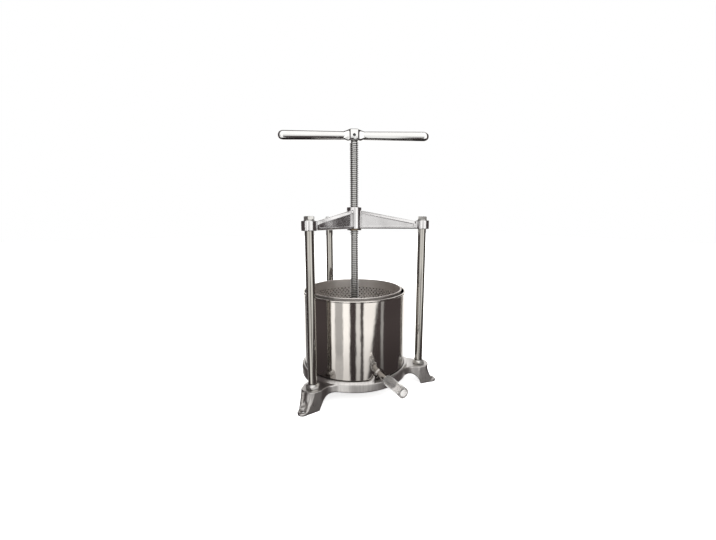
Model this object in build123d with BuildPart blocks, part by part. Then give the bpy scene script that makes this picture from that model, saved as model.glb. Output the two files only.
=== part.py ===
from build123d import *
from math import asin, cos, pi, radians, sin, tan
import os

# Screw press for fruit: screw axis on Z, feet on z = 0, outlet towards -Y, millimetres

# Base casting: round seat with a rim, carried by three legs
ring_r = 116.5
ring_wall = 9.0
ring_bottom_z = 25.5
seat_z = 44.5
seat_t = 8.0
rim_h = 2.5
rim_w = 3.2
rim_step = 1.5
rim_bevel = 2.4
rib_count = 6
rib_w = 8.0
rib_h = 7.0
core_r = 24.0
leg_angles = {"front_left": 210.0, "front_right": 330.0, "rear": 90.0}
leg_start_angle = 90.0
leg_half_w = 22.7
leg_blend_r = 26.0
pad_z = 40.8
pad_r = 22.0
pad_edge_h = 3.0
foot_in_r = 146.5
flare_foot_r = 31.0
flare_hollow = 0.3
toe_circle_r = 171.0
toe_r = 10.5
toe_h = 6.0
toe_seat_r = 7.5
toe_hole_d = 9.0
ridge_w = 5.0
channel_depth = 3.5
notch_half_w = 11.5
notch_z = 43.5
horn_top_w = 2.5
horn_foot_w = 14.0
horn_h = 10.0

# Columns, with a threaded foot and a tapped head
column_circle_r = 142.5
column_d = 17.0
column_foot_d = 16.0
column_foot_depth = 17.0
column_head_depth = 10.0
foot_nut_af = 24.0
foot_nut_h = 8.0

# Crosshead casting
crosshead_z = 337.2
socket_d = 29.0
socket_h = 17.8
boss_d = 32.0
boss_h = 44.8
arm_w = 17.0
arm_root_h = 37.8
arm_tip_h = 13.3
arm_edge_r = 2.5
web_t = 8.0
flange_top = 5.0
flange_bottom = 4.5
panel_end_gap = 4.0
panel_corner_r = 1.2

# Bolts and washers on the crosshead
bolt_d = 10.0
bolt_length = 35.0
bolt_af = 17.0
bolt_head_h = 6.4
washer_d = 20.0
washer_t = 1.6

# Screw: single start trapezoidal thread
screw_d = 18.0
screw_pitch = 4.0
thread_depth = 2.25
thread_crest = 1.46
flank_angle = 15.0
screw_turns = 83
screw_neck = 1.0
collar_d = 22.0
collar_h = 6.0
journal_d = 13.0

# Bush in the crosshead and its lock screw
bush_d = 25.0
bush_flange_d = 30.0
bush_flange_t = 3.0
lock_screw_d = 6.0
lock_screw_h = 22.0
lock_screw_angle = 30.0
lock_screw_sink = 0.6
hex_key_af = 3.0
hex_key_depth = 2.0

# Handle with its cross pin
handle_angle = -23.6
handle_length = 308.0
handle_root_d = 17.0
handle_end_d = 19.4
handle_end_r = 6.5
handle_flat_t = 14.6
hub_r = 15.5
hub_flat_t = 26.0
hub_h = 23.4
hub_top_r = 8.5
hub_shoulder_h = 6.4
hub_flare = 21.6
hub_bore_depth = 19.0
hub_foot_r = 17.0
hub_foot_h = 2.4
pin_d = 6.0
pin_bore_d = 3.4
pin_z = 10.2
pin_sink = 1.0

# Pressure plate, bush, thrust washer and what holds it on the screw
plate_rest_z = 140.0
plate_gap = 2.0
plate_t = 10.0
plate_edge_r = 2.0
plate_hub_d = 46.0
plate_hub_h = 22.0
plate_rib_count = 6
plate_rib_w = 8.0
plate_rib_h = 12.0
plate_rib_end_h = 3.0
plate_rib_inset = 12.0
plate_recess_d = 36.0
plate_recess_h = 9.0
plate_bush_d = 17.0
thrust_washer_d = 34.0
thrust_washer_t = 3.0
keeper_d = 28.0
keeper_t = 3.0
keeper_screw_d = 8.0
keeper_screw_l = 18.0
keeper_head_af = 13.0
keeper_head_h = 5.0
axial_play = 0.2

# Outer pot, outlet nozzle and drain tube
pot_r = 109.7
pot_wall = 1.4
pot_height = 162.0
pot_corner_r = 4.0
pot_bead_r = 2.2
outlet_z = 58.4
nozzle_d = 14.0
nozzle_bore_d = 11.0
nozzle_end_r = 166.0
nozzle_inside = 1.0
nozzle_collar_d = 20.0
nozzle_collar_t = 3.2
tube_d = 19.5
tube_bore_d = 13.0
tube_stop_gap = 1.0
tube_start_r = 141.0
tube_end_r = 195.0
tube_edge_r = 0.6

# Perforated cage standing in the pot
cage_r = 100.5
cage_wall_t = 1.5
cage_height = 164.6
cage_bead_r = 1.6
cage_floor_t = 2.0
cage_floor_lift = 4.0
hole_d = 5.0
hole_columns = 36
hole_rows = 8
hole_first_drop = 24.0
hole_row_pitch = 16.0
floor_hole_rings = 5
floor_hole_ring_pitch = 17.0
floor_holes_per_ring = 6
drain_slot_count = 12
drain_slot_w = 10.0

# Fits: a joint that turns, a fit between fixed pieces, and the pot in its seat
turning_gap = 0.08
fixed_gap = 0.03
pot_seat_gap = 0.4

# Levels and radii worked out from the sizes above
rim_in_r = pot_r + pot_seat_gap
rim_out_r = rim_in_r + rim_w
rim_z = seat_z + rim_h
seat_bottom_z = seat_z - seat_t
socket_top_z = crosshead_z + socket_h
pot_floor_z = seat_z + pot_wall
cage_top_z = pot_floor_z + cage_height
cage_in_r = cage_r - cage_wall_t
plate_r = cage_in_r - plate_gap
plate_top_z = plate_rest_z + plate_t
plate_hub_top_z = plate_top_z + plate_hub_h
plate_recess_z = plate_rest_z + plate_recess_h
screw_collar_z = plate_hub_top_z + thrust_washer_t + axial_play
thread_z = screw_collar_z + collar_h
thread_top_z = thread_z + screw_turns * screw_pitch
hub_z = thread_top_z + screw_neck
bar_z = hub_z + hub_h - hub_shoulder_h - handle_root_d / 2 + hub_foot_h
thread_root_r = screw_d / 2 - thread_depth
column_foot_z = pad_z - column_foot_depth
column_shoulder_z = pad_z + foot_nut_h
column_top_z = crosshead_z + column_head_depth

os.makedirs("parts", exist_ok=True)


def write(block, name):
    block.part.label = name
    export_step(block.part, f"parts/{name}.step")


def around(angle, radius, z=0.0):
    return (radius * cos(radians(angle)), radius * sin(radians(angle)), z)


def thread_outline():
    # Half outline of the screw's threaded length: a crest, a flank, a root and a flank per pitch.
    flank = thread_depth * tan(radians(flank_angle))
    crest_r = screw_d / 2
    points = [(0, thread_z)]
    for turn in range(screw_turns):
        z = thread_z + turn * screw_pitch
        points.append((thread_root_r, z))
        points.append((thread_root_r, z + screw_pitch - thread_crest - 2 * flank))
        points.append((crest_r, z + screw_pitch - thread_crest - flank))
        points.append((crest_r, z + screw_pitch - flank))
    points.append((thread_root_r, thread_top_z))
    points.append((0, thread_top_z))
    return points


# Leg along +X: plan outline with blends to the ring, arched under, flared around the column
blend_angle = asin((leg_half_w + leg_blend_r) / (ring_r + leg_blend_r))
blend_x = (ring_r + leg_blend_r) * cos(blend_angle)
blend_start = (ring_r * cos(blend_angle), ring_r * sin(blend_angle))
blend_half = (blend_angle + pi / 2) / 2
blend_mid = (
    blend_x - leg_blend_r * cos(blend_half),
    leg_half_w + leg_blend_r - leg_blend_r * sin(blend_half),
)
arch_drop = foot_in_r - ring_r
arch_r = (arch_drop**2 + ring_bottom_z**2) / (2 * ring_bottom_z)
arch_turn = asin(arch_drop / arch_r) / 2
arch_mid = (
    ring_r + arch_r * sin(arch_turn),
    ring_bottom_z - arch_r * (1 - cos(arch_turn)),
)
leg_root_x = ring_r - ring_wall
flare_top_z = pad_z - pad_edge_h
flare_reach = toe_circle_r + 2 * toe_r - column_circle_r
flare_plane = Plane((column_circle_r, 0, 0), x_dir=(0, -1, 0), z_dir=(-1, 0, 0))
column_axis = Axis((column_circle_r, 0, 0), (0, 0, 1))


def leg_plan(inset):
    # Plan of the leg, drawn in from its outline by the inset.
    half_w = leg_half_w - inset
    tip_r = toe_r - inset
    with BuildSketch() as outline:
        with BuildLine():
            Polyline(
                (toe_circle_r, tip_r),
                (column_circle_r, half_w),
                (blend_x, half_w),
            )
            ThreePointArc(
                (blend_x, half_w),
                (blend_mid[0], blend_mid[1] - inset),
                (blend_start[0], blend_start[1] - inset),
            )
            Polyline(
                (blend_start[0], blend_start[1] - inset),
                (leg_root_x, blend_start[1] - inset),
                (leg_root_x, 0),
            )
            mirror(about=Plane.XZ)
            ThreePointArc(
                (toe_circle_r, tip_r),
                (toe_circle_r + tip_r, 0),
                (toe_circle_r, -tip_r),
            )
        make_face()
    return outline.sketch


def flare_cut(depth, top_z):
    # Space outside the flared face of the leg, half way round the column.
    top = (pad_r - depth, flare_top_z)
    foot = (flare_foot_r - depth, toe_h)
    middle = (top[0] + (foot[0] - top[0]) * flare_hollow, (top[1] + foot[1]) / 2)
    upright = [(top[0], top_z)] if top_z > flare_top_z else []
    with BuildPart() as space:
        with BuildSketch(flare_plane):
            with BuildLine():
                ThreePointArc(top, middle, foot)
                Polyline(foot, (flare_reach, toe_h), (flare_reach, top_z), *upright, top)
            make_face()
        revolve(axis=column_axis, revolution_arc=180)
    return space.part


channel_plan = leg_plan(ridge_w)
with BuildPart() as channel:
    add(flare_cut(channel_depth, flare_top_z))
    with BuildSketch(Plane.XY.offset(toe_h)):
        add(channel_plan)
    extrude(amount=pad_z, mode=Mode.INTERSECT)

leg_outline = leg_plan(0)
with BuildPart() as leg:
    with BuildSketch():
        add(leg_outline)
    extrude(amount=pad_z)
    with BuildSketch(Plane.XZ):
        with BuildLine():
            Polyline(
                (ring_r, ring_bottom_z),
                (leg_root_x, ring_bottom_z),
                (leg_root_x, pad_z),
                (toe_circle_r + toe_r, pad_z),
                (toe_circle_r + toe_r, 0),
                (foot_in_r, 0),
            )
            ThreePointArc((foot_in_r, 0), arch_mid, (ring_r, ring_bottom_z))
        make_face()
    extrude(amount=ring_r, both=True, mode=Mode.INTERSECT)
    add(flare_cut(0, pad_z), mode=Mode.SUBTRACT)
    add(channel.part, mode=Mode.SUBTRACT)
    with BuildSketch(Plane.XY.offset(toe_h)):
        with Locations((toe_circle_r, 0)):
            Circle(toe_seat_r)
    extrude(amount=pad_z, mode=Mode.SUBTRACT)
    with Locations((toe_circle_r, 0, toe_h)):
        Hole(toe_hole_d / 2)

# Horns on the rim, one each side of the outlet
with BuildPart() as horns:
    with BuildSketch(Plane.XZ):
        with BuildLine():
            inner = notch_half_w
            Polyline(
                (inner + horn_foot_w, rim_z),
                (inner + horn_foot_w, seat_z),
                (inner, seat_z),
                (inner, rim_z + horn_h),
                (inner + horn_top_w, rim_z + horn_h),
            )
            TangentArc(
                (inner + horn_foot_w, rim_z),
                (inner + horn_top_w, rim_z + horn_h),
                tangent=(-1, 0),
            )
        make_face()
        mirror(about=Plane.YZ)
    extrude(amount=ring_r)
    with BuildSketch(Plane.XY.offset(seat_z)):
        Circle(ring_r - rim_bevel / 2)
        Circle(rim_in_r, mode=Mode.SUBTRACT)
    extrude(amount=rim_h + horn_h, mode=Mode.INTERSECT)

# Base casting
with BuildPart() as base_casting:
    with BuildSketch(Plane.XZ):
        with BuildLine():
            Polyline(
                (0, seat_bottom_z),
                (0, seat_z),
                (rim_in_r, seat_z),
                (rim_in_r, rim_z),
                (rim_out_r, rim_z),
                (rim_out_r, rim_z - rim_step),
                (ring_r - rim_bevel, rim_z - rim_step),
                (ring_r, rim_z - rim_step - rim_bevel),
                (ring_r, ring_bottom_z),
                (ring_r - ring_wall, ring_bottom_z),
                (ring_r - ring_wall, seat_bottom_z),
                close=True,
            )
        make_face()
    revolve(axis=Axis.Z)
    with BuildSketch(Plane.XY.offset(seat_bottom_z)):
        Circle(core_r)
        with PolarLocations(ring_r / 2, rib_count, leg_start_angle):
            Rectangle(ring_r - ring_wall, rib_w)
    extrude(amount=-rib_h)
    add(horns.part)
    with PolarLocations(0, len(leg_angles), leg_start_angle):
        add(leg.part)
    with BuildSketch(Plane.XY.offset(pad_z)):
        with PolarLocations(column_circle_r, len(leg_angles), leg_start_angle):
            Circle(column_foot_d / 2 + fixed_gap)
    extrude(amount=-column_foot_depth, mode=Mode.SUBTRACT)
    with BuildSketch(Plane.XY.offset(notch_z)):
        with Locations((0, -ring_r)):
            Rectangle(2 * notch_half_w, 2 * (ring_r - rim_in_r) + rim_h)
    extrude(amount=rim_z - notch_z + horn_h, mode=Mode.SUBTRACT)
write(base_casting, "base_casting")

# Columns with threaded feet and tapped heads
for side, angle in leg_angles.items():
    with BuildPart() as column:
        with BuildSketch(Plane(around(angle, column_circle_r, column_foot_z))):
            Circle(column_foot_d / 2)
        extrude(amount=column_shoulder_z - column_foot_z)
        with BuildSketch(Plane(around(angle, column_circle_r, column_shoulder_z))):
            Circle(column_d / 2)
        extrude(amount=column_top_z - column_shoulder_z)
        with BuildSketch(Plane(around(angle, column_circle_r, column_top_z))):
            Circle(bolt_d / 2 + fixed_gap)
        extrude(amount=-bolt_length, mode=Mode.SUBTRACT)
    write(column, f"column_{side}")

# Jam nuts at the feet of the columns
with BuildPart() as foot_nuts:
    with BuildSketch(Plane.XY.offset(pad_z)):
        with PolarLocations(column_circle_r, len(leg_angles), leg_start_angle):
            RegularPolygon(foot_nut_af / 2, 6, major_radius=False)
            Circle(column_foot_d / 2 + fixed_gap, mode=Mode.SUBTRACT)
    extrude(amount=foot_nut_h)
write(foot_nuts, "column_foot_nuts")

# Arm of the crosshead along +X, with a recessed panel in each side
panel_start_x = boss_d / 2
panel_end_x = column_circle_r - socket_d / 2 - panel_end_gap
arm_slope = (arm_tip_h - arm_root_h) / (column_circle_r - panel_start_x)
panel_end_h = arm_root_h + arm_slope * (panel_end_x - panel_start_x)
with BuildPart() as arm:
    with BuildSketch(Plane.XZ):
        with BuildLine():
            Polyline(
                (0, crosshead_z),
                (column_circle_r, crosshead_z),
                (column_circle_r, crosshead_z + arm_tip_h),
                (panel_start_x, crosshead_z + arm_root_h),
                (0, crosshead_z + arm_root_h),
                close=True,
            )
        make_face()
    extrude(amount=arm_w / 2, both=True)
    long_edges = arm.edges().filter_by(Axis.X)
    fillet(long_edges.group_by(Axis.Z)[0], radius=arm_edge_r)
    for side in (1, -1):
        with BuildSketch(Plane.XZ.offset(side * web_t / 2)):
            with BuildLine():
                Polyline(
                    (panel_start_x, crosshead_z + flange_bottom),
                    (panel_end_x, crosshead_z + flange_bottom),
                    (panel_end_x, crosshead_z + panel_end_h - flange_top),
                    (panel_start_x, crosshead_z + arm_root_h - flange_top),
                    close=True,
                )
            panel = make_face()
            fillet(panel.vertices(), radius=panel_corner_r)
        extrude(amount=side * arm_w, mode=Mode.SUBTRACT)

# Crosshead casting
with BuildPart() as crosshead:
    with BuildSketch(Plane.XY.offset(crosshead_z)):
        with PolarLocations(column_circle_r, len(leg_angles), leg_start_angle):
            Circle(socket_d / 2)
    extrude(amount=socket_h)
    with BuildSketch(Plane.XY.offset(crosshead_z)):
        Circle(boss_d / 2)
    extrude(amount=boss_h)
    with PolarLocations(0, len(leg_angles), leg_start_angle):
        add(arm.part)
    with BuildSketch(Plane.XY.offset(crosshead_z)):
        Circle(bush_d / 2 + fixed_gap)
    extrude(amount=boss_h, mode=Mode.SUBTRACT)
    with BuildSketch(Plane.XY.offset(crosshead_z)):
        with PolarLocations(column_circle_r, len(leg_angles), leg_start_angle):
            Circle(column_d / 2 + fixed_gap)
    extrude(amount=column_head_depth, mode=Mode.SUBTRACT)
    with BuildSketch(Plane.XY.offset(crosshead_z)):
        with PolarLocations(column_circle_r, len(leg_angles), leg_start_angle):
            Circle(bolt_d / 2 + fixed_gap)
    extrude(amount=socket_h, mode=Mode.SUBTRACT)
    lock_plane = Plane(
        (0, 0, crosshead_z + lock_screw_h),
        z_dir=around(lock_screw_angle, 1),
    )
    with BuildSketch(lock_plane):
        Circle(lock_screw_d / 2 + fixed_gap)
    extrude(amount=boss_d, mode=Mode.SUBTRACT)
write(crosshead, "crosshead")

# Washers and hexagon bolts that hold the crosshead on the columns
with BuildPart() as crosshead_washers:
    with BuildSketch(Plane.XY.offset(socket_top_z)):
        with PolarLocations(column_circle_r, len(leg_angles), leg_start_angle):
            Circle(washer_d / 2)
            Circle(bolt_d / 2 + fixed_gap, mode=Mode.SUBTRACT)
    extrude(amount=washer_t)
write(crosshead_washers, "crosshead_washers")

bolt_seat_z = socket_top_z + washer_t
with BuildPart() as crosshead_bolts:
    with BuildSketch(Plane.XY.offset(bolt_seat_z)):
        with PolarLocations(column_circle_r, len(leg_angles), leg_start_angle):
            RegularPolygon(bolt_af / 2, 6, major_radius=False)
    extrude(amount=bolt_head_h)
    with BuildSketch(Plane.XY.offset(bolt_seat_z)):
        with PolarLocations(column_circle_r, len(leg_angles), leg_start_angle):
            Circle(bolt_d / 2)
    extrude(amount=-bolt_length)
write(crosshead_bolts, "crosshead_bolts")

# Bush that carries the screw, flanged under the boss
with BuildPart() as spindle_nut:
    with BuildSketch(Plane.XY.offset(crosshead_z - bush_flange_t)):
        Circle(bush_flange_d / 2)
    extrude(amount=bush_flange_t)
    with BuildSketch(Plane.XY.offset(crosshead_z)):
        Circle(bush_d / 2)
    extrude(amount=boss_h)
    with BuildSketch(Plane.XY.offset(crosshead_z - bush_flange_t)):
        Circle(screw_d / 2 + turning_gap)
    extrude(amount=bush_flange_t + boss_h, mode=Mode.SUBTRACT)
write(spindle_nut, "spindle_nut")

# Lock screw of the bush, with a hexagon socket
with BuildPart() as lock_screw:
    with BuildSketch(lock_plane.offset(bush_d / 2 + fixed_gap)):
        Circle(lock_screw_d / 2)
    extrude(amount=(boss_d - bush_d) / 2 - lock_screw_sink)
    with BuildSketch(lock_plane.offset(boss_d / 2 - lock_screw_sink + fixed_gap)):
        RegularPolygon(hex_key_af / 2, 6, major_radius=False)
    extrude(amount=-hex_key_depth, mode=Mode.SUBTRACT)
write(lock_screw, "spindle_nut_screw")

# Screw: thread, thrust collar and journal below, neck and tenon above
bar_dir = around(handle_angle, 1)
cross_dir = around(handle_angle + 90, 1)
pin_plane = Plane((0, 0, hub_z + pin_z), x_dir=bar_dir, z_dir=cross_dir)
keeper_z = plate_recess_z - axial_play
with BuildPart() as spindle:
    with BuildSketch(Plane.XY.offset(screw_collar_z)):
        Circle(collar_d / 2)
    extrude(amount=collar_h)
    with BuildSketch(Plane.XY.offset(screw_collar_z)):
        Circle(journal_d / 2)
    extrude(amount=keeper_z - screw_collar_z)
    with BuildSketch(Plane.XY.offset(thread_top_z)):
        Circle(journal_d / 2)
    extrude(amount=screw_neck + hub_bore_depth - fixed_gap)
    with BuildSketch(Plane.XZ):
        with BuildLine():
            Polyline(*thread_outline(), close=True)
        make_face()
    revolve(axis=Axis.Z)
    with BuildSketch(pin_plane):
        Circle(pin_d / 2 + fixed_gap)
    extrude(amount=screw_d, both=True, mode=Mode.SUBTRACT)
    with BuildSketch(Plane.XY.offset(keeper_z)):
        Circle(keeper_screw_d / 2 + fixed_gap)
    extrude(amount=keeper_screw_l, mode=Mode.SUBTRACT)
write(spindle, "spindle")

# Handle: two tapered arms with rounded ends and flat sides, and a hub
bar_end = handle_length / 2
with BuildPart() as handle:
    for side in (1, -1):
        side_dir = around(handle_angle + 90 - 90 * side, 1)
        with BuildSketch(Plane((0, 0, bar_z), x_dir=side_dir, z_dir=cross_dir)):
            with BuildLine():
                end_r = handle_end_d / 2
                Polyline(
                    (0, 0),
                    (0, hub_flare / 2),
                    (hub_top_r, hub_flare / 2),
                    (hub_flare, handle_root_d / 2),
                    (bar_end - handle_end_r, end_r),
                )
                CenterArc((bar_end - handle_end_r, end_r - handle_end_r), handle_end_r, 0, 90)
                Polyline((bar_end, end_r - handle_end_r), (bar_end, 0), (0, 0))
            make_face()
        revolve(axis=Axis((0, 0, bar_z), side_dir))
    with BuildSketch(Plane((0, 0, bar_z), x_dir=bar_dir, z_dir=cross_dir)):
        Rectangle(handle_length, 2 * hub_flare)
    extrude(amount=handle_flat_t / 2, both=True, mode=Mode.INTERSECT)
    with BuildSketch(Plane.XZ):
        with BuildLine():
            Polyline(
                (0, hub_z),
                (hub_foot_r, hub_z),
                (hub_foot_r, hub_z + hub_foot_h),
                (hub_r, hub_z + hub_foot_h),
                (hub_r, hub_z + hub_h - hub_shoulder_h),
                (hub_top_r, hub_z + hub_h),
                (0, hub_z + hub_h),
                close=True,
            )
        make_face()
    revolve(axis=Axis.Z)
    for side in (1, -1):
        with BuildSketch(pin_plane.offset(side * hub_flat_t / 2)):
            Rectangle(2 * hub_foot_r, 4 * hub_h)
        extrude(amount=side * hub_r, mode=Mode.SUBTRACT)
    with BuildSketch(Plane.XY.offset(hub_z)):
        Circle(journal_d / 2 + fixed_gap)
    extrude(amount=hub_bore_depth, mode=Mode.SUBTRACT)
    with BuildSketch(pin_plane):
        Circle(pin_d / 2 + fixed_gap)
    extrude(amount=hub_r, both=True, mode=Mode.SUBTRACT)
write(handle, "handle")

# Hollow cross pin through the hub and the screw's tenon
with BuildPart() as handle_pin:
    with BuildSketch(pin_plane):
        Circle(pin_d / 2)
        Circle(pin_bore_d / 2, mode=Mode.SUBTRACT)
    extrude(amount=hub_flat_t / 2 - pin_sink, both=True)
write(handle_pin, "handle_pin")

# Pressure plate with hub, ribs and a recess under the hub
with BuildPart() as pressure_plate:
    with BuildSketch(Plane.XY.offset(plate_rest_z)):
        Circle(plate_r)
    extrude(amount=plate_t)
    fillet(pressure_plate.edges().filter_by(GeomType.CIRCLE), radius=plate_edge_r)
    with BuildSketch(Plane.XY.offset(plate_top_z)):
        Circle(plate_hub_d / 2)
    extrude(amount=plate_hub_h)
    for rib in range(plate_rib_count):
        rib_dir = around(rib * 360 / plate_rib_count, 1)
        rib_plane = Plane((0, 0, plate_top_z), x_dir=rib_dir, z_dir=(rib_dir[1], -rib_dir[0], 0))
        with BuildSketch(rib_plane):
            with BuildLine():
                Polyline(
                    (plate_bush_d, 0),
                    (plate_r - plate_rib_inset, 0),
                    (plate_r - plate_rib_inset, plate_rib_end_h),
                    (plate_bush_d, plate_rib_h),
                    close=True,
                )
            make_face()
        extrude(amount=plate_rib_w / 2, both=True)
    with BuildSketch(Plane.XY.offset(plate_rest_z)):
        Circle(plate_recess_d / 2)
    extrude(amount=plate_recess_h, mode=Mode.SUBTRACT)
    with BuildSketch(Plane.XY.offset(plate_rest_z)):
        Circle(plate_bush_d / 2 + fixed_gap)
    extrude(amount=plate_t + plate_hub_h, mode=Mode.SUBTRACT)
write(pressure_plate, "pressure_plate")

with BuildPart() as plate_bush:
    with BuildSketch(Plane.XY.offset(plate_recess_z)):
        Circle(plate_bush_d / 2)
        Circle(journal_d / 2 + turning_gap, mode=Mode.SUBTRACT)
    extrude(amount=plate_hub_top_z - plate_recess_z)
write(plate_bush, "plate_bush")

with BuildPart() as thrust_washer:
    with BuildSketch(Plane.XY.offset(plate_hub_top_z)):
        Circle(thrust_washer_d / 2)
        Circle(journal_d / 2 + turning_gap, mode=Mode.SUBTRACT)
    extrude(amount=thrust_washer_t)
write(thrust_washer, "thrust_washer")

# Keeper washer and screw under the journal
with BuildPart() as keeper_washer:
    with BuildSketch(Plane.XY.offset(keeper_z)):
        Circle(keeper_d / 2)
        Circle(keeper_screw_d / 2 + fixed_gap, mode=Mode.SUBTRACT)
    extrude(amount=-keeper_t)
write(keeper_washer, "keeper_washer")

with BuildPart() as keeper_screw:
    with BuildSketch(Plane.XY.offset(keeper_z - keeper_t)):
        Circle(keeper_screw_d / 2)
    extrude(amount=keeper_screw_l)
    with BuildSketch(Plane.XY.offset(keeper_z - keeper_t)):
        RegularPolygon(keeper_head_af / 2, 6, major_radius=False)
    extrude(amount=-keeper_head_h)
write(keeper_screw, "keeper_screw")

# Outer pot: spun shell with a round bottom corner and a rolled bead
pot_bead_z = seat_z + pot_height - pot_bead_r
outlet_plane = Plane((0, 0, outlet_z), x_dir=(1, 0, 0), z_dir=(0, -1, 0))
with BuildPart() as outer_pot:
    with BuildSketch(Plane.XY.offset(seat_z)):
        Circle(pot_r)
    extrude(amount=pot_height - pot_bead_r)
    pot_bottom = outer_pot.faces().sort_by(Axis.Z)[0]
    fillet(pot_bottom.edges(), radius=pot_corner_r)
    offset(amount=-pot_wall, openings=outer_pot.faces().sort_by(Axis.Z)[-1])
    with BuildSketch(Plane.XZ):
        with Locations((pot_r - pot_wall / 2, pot_bead_z)):
            Circle(pot_bead_r)
    revolve(axis=Axis.Z)
    with BuildSketch(outlet_plane):
        Circle(nozzle_d / 2 + fixed_gap)
    extrude(amount=pot_r, mode=Mode.SUBTRACT)
write(outer_pot, "outer_pot")

# Outlet nozzle with its weld collar shaped to the pot's wall
with BuildPart() as outlet_nozzle:
    with BuildSketch(outlet_plane.offset(pot_r - pot_wall)):
        Circle(nozzle_collar_d / 2)
    extrude(amount=pot_wall + nozzle_collar_t)
    with BuildSketch(Plane.XY):
        Circle(pot_r + fixed_gap)
    extrude(amount=pot_height, mode=Mode.SUBTRACT)
    with BuildSketch(outlet_plane.offset(pot_r - pot_wall - nozzle_inside)):
        Circle(nozzle_d / 2)
    extrude(amount=nozzle_end_r - pot_r + pot_wall + nozzle_inside)
    with BuildSketch(outlet_plane):
        Circle(nozzle_bore_d / 2)
    extrude(amount=nozzle_end_r, mode=Mode.SUBTRACT)
write(outlet_nozzle, "outlet_nozzle")

# Drain tube, stretched where it is pushed on the nozzle
with BuildPart() as drain_tube:
    with BuildSketch(outlet_plane.offset(tube_start_r)):
        Circle(tube_d / 2)
    extrude(amount=tube_end_r - tube_start_r)
    fillet(drain_tube.edges().filter_by(GeomType.CIRCLE), radius=tube_edge_r)
    with BuildSketch(outlet_plane.offset(tube_start_r)):
        Circle(tube_bore_d / 2)
    extrude(amount=tube_end_r - tube_start_r, mode=Mode.SUBTRACT)
    with BuildSketch(outlet_plane.offset(tube_start_r)):
        Circle(nozzle_d / 2 + turning_gap)
    extrude(amount=nozzle_end_r - tube_start_r + tube_stop_gap, mode=Mode.SUBTRACT)
write(drain_tube, "drain_tube")

# Cage wall: rolled sheet with staggered holes, a bead and drain slots at its foot
cage_bead_z = cage_top_z - cage_bead_r
hole_top_z = cage_top_z - hole_first_drop
hole_step = 360 / hole_columns
with BuildPart() as cage_wall:
    with BuildSketch(Plane.XY.offset(pot_floor_z)):
        Circle(cage_r)
        Circle(cage_in_r, mode=Mode.SUBTRACT)
    extrude(amount=cage_height - cage_bead_r)
    with BuildSketch(Plane.XZ):
        with Locations((cage_r - cage_wall_t / 2 + cage_bead_r / 2, cage_bead_z)):
            Circle(cage_bead_r)
    revolve(axis=Axis.Z)
    drills = []
    for row in range(hole_rows):
        for column_index in range(hole_columns):
            turn = (column_index + row % 2 / 2) * hole_step
            start = around(turn, cage_in_r - cage_wall_t, hole_top_z - row * hole_row_pitch)
            drill_plane = Plane(start, z_dir=around(turn, 1))
            drills.append(Solid.make_cylinder(hole_d / 2, 3 * cage_wall_t, drill_plane))
    add(drills, mode=Mode.SUBTRACT)
    with BuildSketch(Plane.XY.offset(pot_floor_z)):
        with PolarLocations(cage_r, drain_slot_count, hole_step / 2):
            Rectangle(4 * cage_wall_t, drain_slot_w)
    extrude(amount=cage_floor_lift / 2, mode=Mode.SUBTRACT)
write(cage_wall, "cage_wall")

# Cage floor: perforated disc welded inside the wall, above the drain slots
with BuildPart() as cage_floor:
    with BuildSketch(Plane.XY.offset(pot_floor_z + cage_floor_lift)):
        Circle(cage_in_r - fixed_gap)
        for ring in range(1, floor_hole_rings + 1):
            with PolarLocations(ring * floor_hole_ring_pitch, ring * floor_holes_per_ring):
                Circle(hole_d / 2, mode=Mode.SUBTRACT)
    extrude(amount=cage_floor_t)
write(cage_floor, "cage_floor")
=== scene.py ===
"""Looks of a bench-top fruit press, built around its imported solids, in metres."""
import logging
import math
from collections.abc import Callable, Sequence
from dataclasses import dataclass, field
from enum import Enum

import bmesh
import bpy
from mathutils import Matrix, Vector


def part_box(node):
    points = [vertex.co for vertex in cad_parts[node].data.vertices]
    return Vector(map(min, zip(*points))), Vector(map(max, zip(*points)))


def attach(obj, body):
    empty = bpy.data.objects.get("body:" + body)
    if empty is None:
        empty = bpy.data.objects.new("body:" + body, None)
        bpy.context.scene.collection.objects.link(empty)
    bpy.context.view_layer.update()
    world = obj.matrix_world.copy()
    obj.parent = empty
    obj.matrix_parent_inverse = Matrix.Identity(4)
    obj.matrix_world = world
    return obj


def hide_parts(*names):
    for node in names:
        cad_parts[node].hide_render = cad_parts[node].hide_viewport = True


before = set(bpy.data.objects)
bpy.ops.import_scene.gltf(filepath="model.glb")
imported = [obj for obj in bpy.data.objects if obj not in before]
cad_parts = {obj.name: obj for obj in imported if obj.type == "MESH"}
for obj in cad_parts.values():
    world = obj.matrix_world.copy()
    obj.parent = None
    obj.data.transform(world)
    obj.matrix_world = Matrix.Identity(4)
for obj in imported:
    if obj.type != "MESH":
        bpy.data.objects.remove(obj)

LOG = logging.getLogger("fruit_press")
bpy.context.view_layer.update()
MM = 0.001
TURN = 2 * math.pi
ROUND_SEGMENTS = 192
SMALL_SEGMENTS = 64
CORNER_STEPS = 5
BEAD_STEPS = 20
LOFT_STEPS = 12
COLUMN_COUNT = 3
JOIN_GAP = 0.001 * MM
FLAT = (1.0, 1.0, 0.0)
FRAME_BODY = "frame"
PLATE_BODY = "plate"
SCREW_BODY = "screw"
TUBE_BODY = "tube"

# Sockets of a mix node that carry colours
MIX_FIRST = 6
MIX_SECOND = 7
MIX_RESULT = 2

Shape = bmesh.types.BMesh
Piece = bpy.types.Object
Material = bpy.types.Material
Node = bpy.types.Node
Socket = bpy.types.NodeSocket
Value = Socket | float | int | str | Sequence[float]
Inputs = dict[str | int, Value]
Sizes = tuple[float, float, float]
Corner = tuple[float, ...]

SOCKET_KINDS = {
    float: "NodeSocketFloat",
    int: "NodeSocketInt",
    Piece: "NodeSocketObject",
    Material: "NodeSocketMaterial",
}


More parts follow.
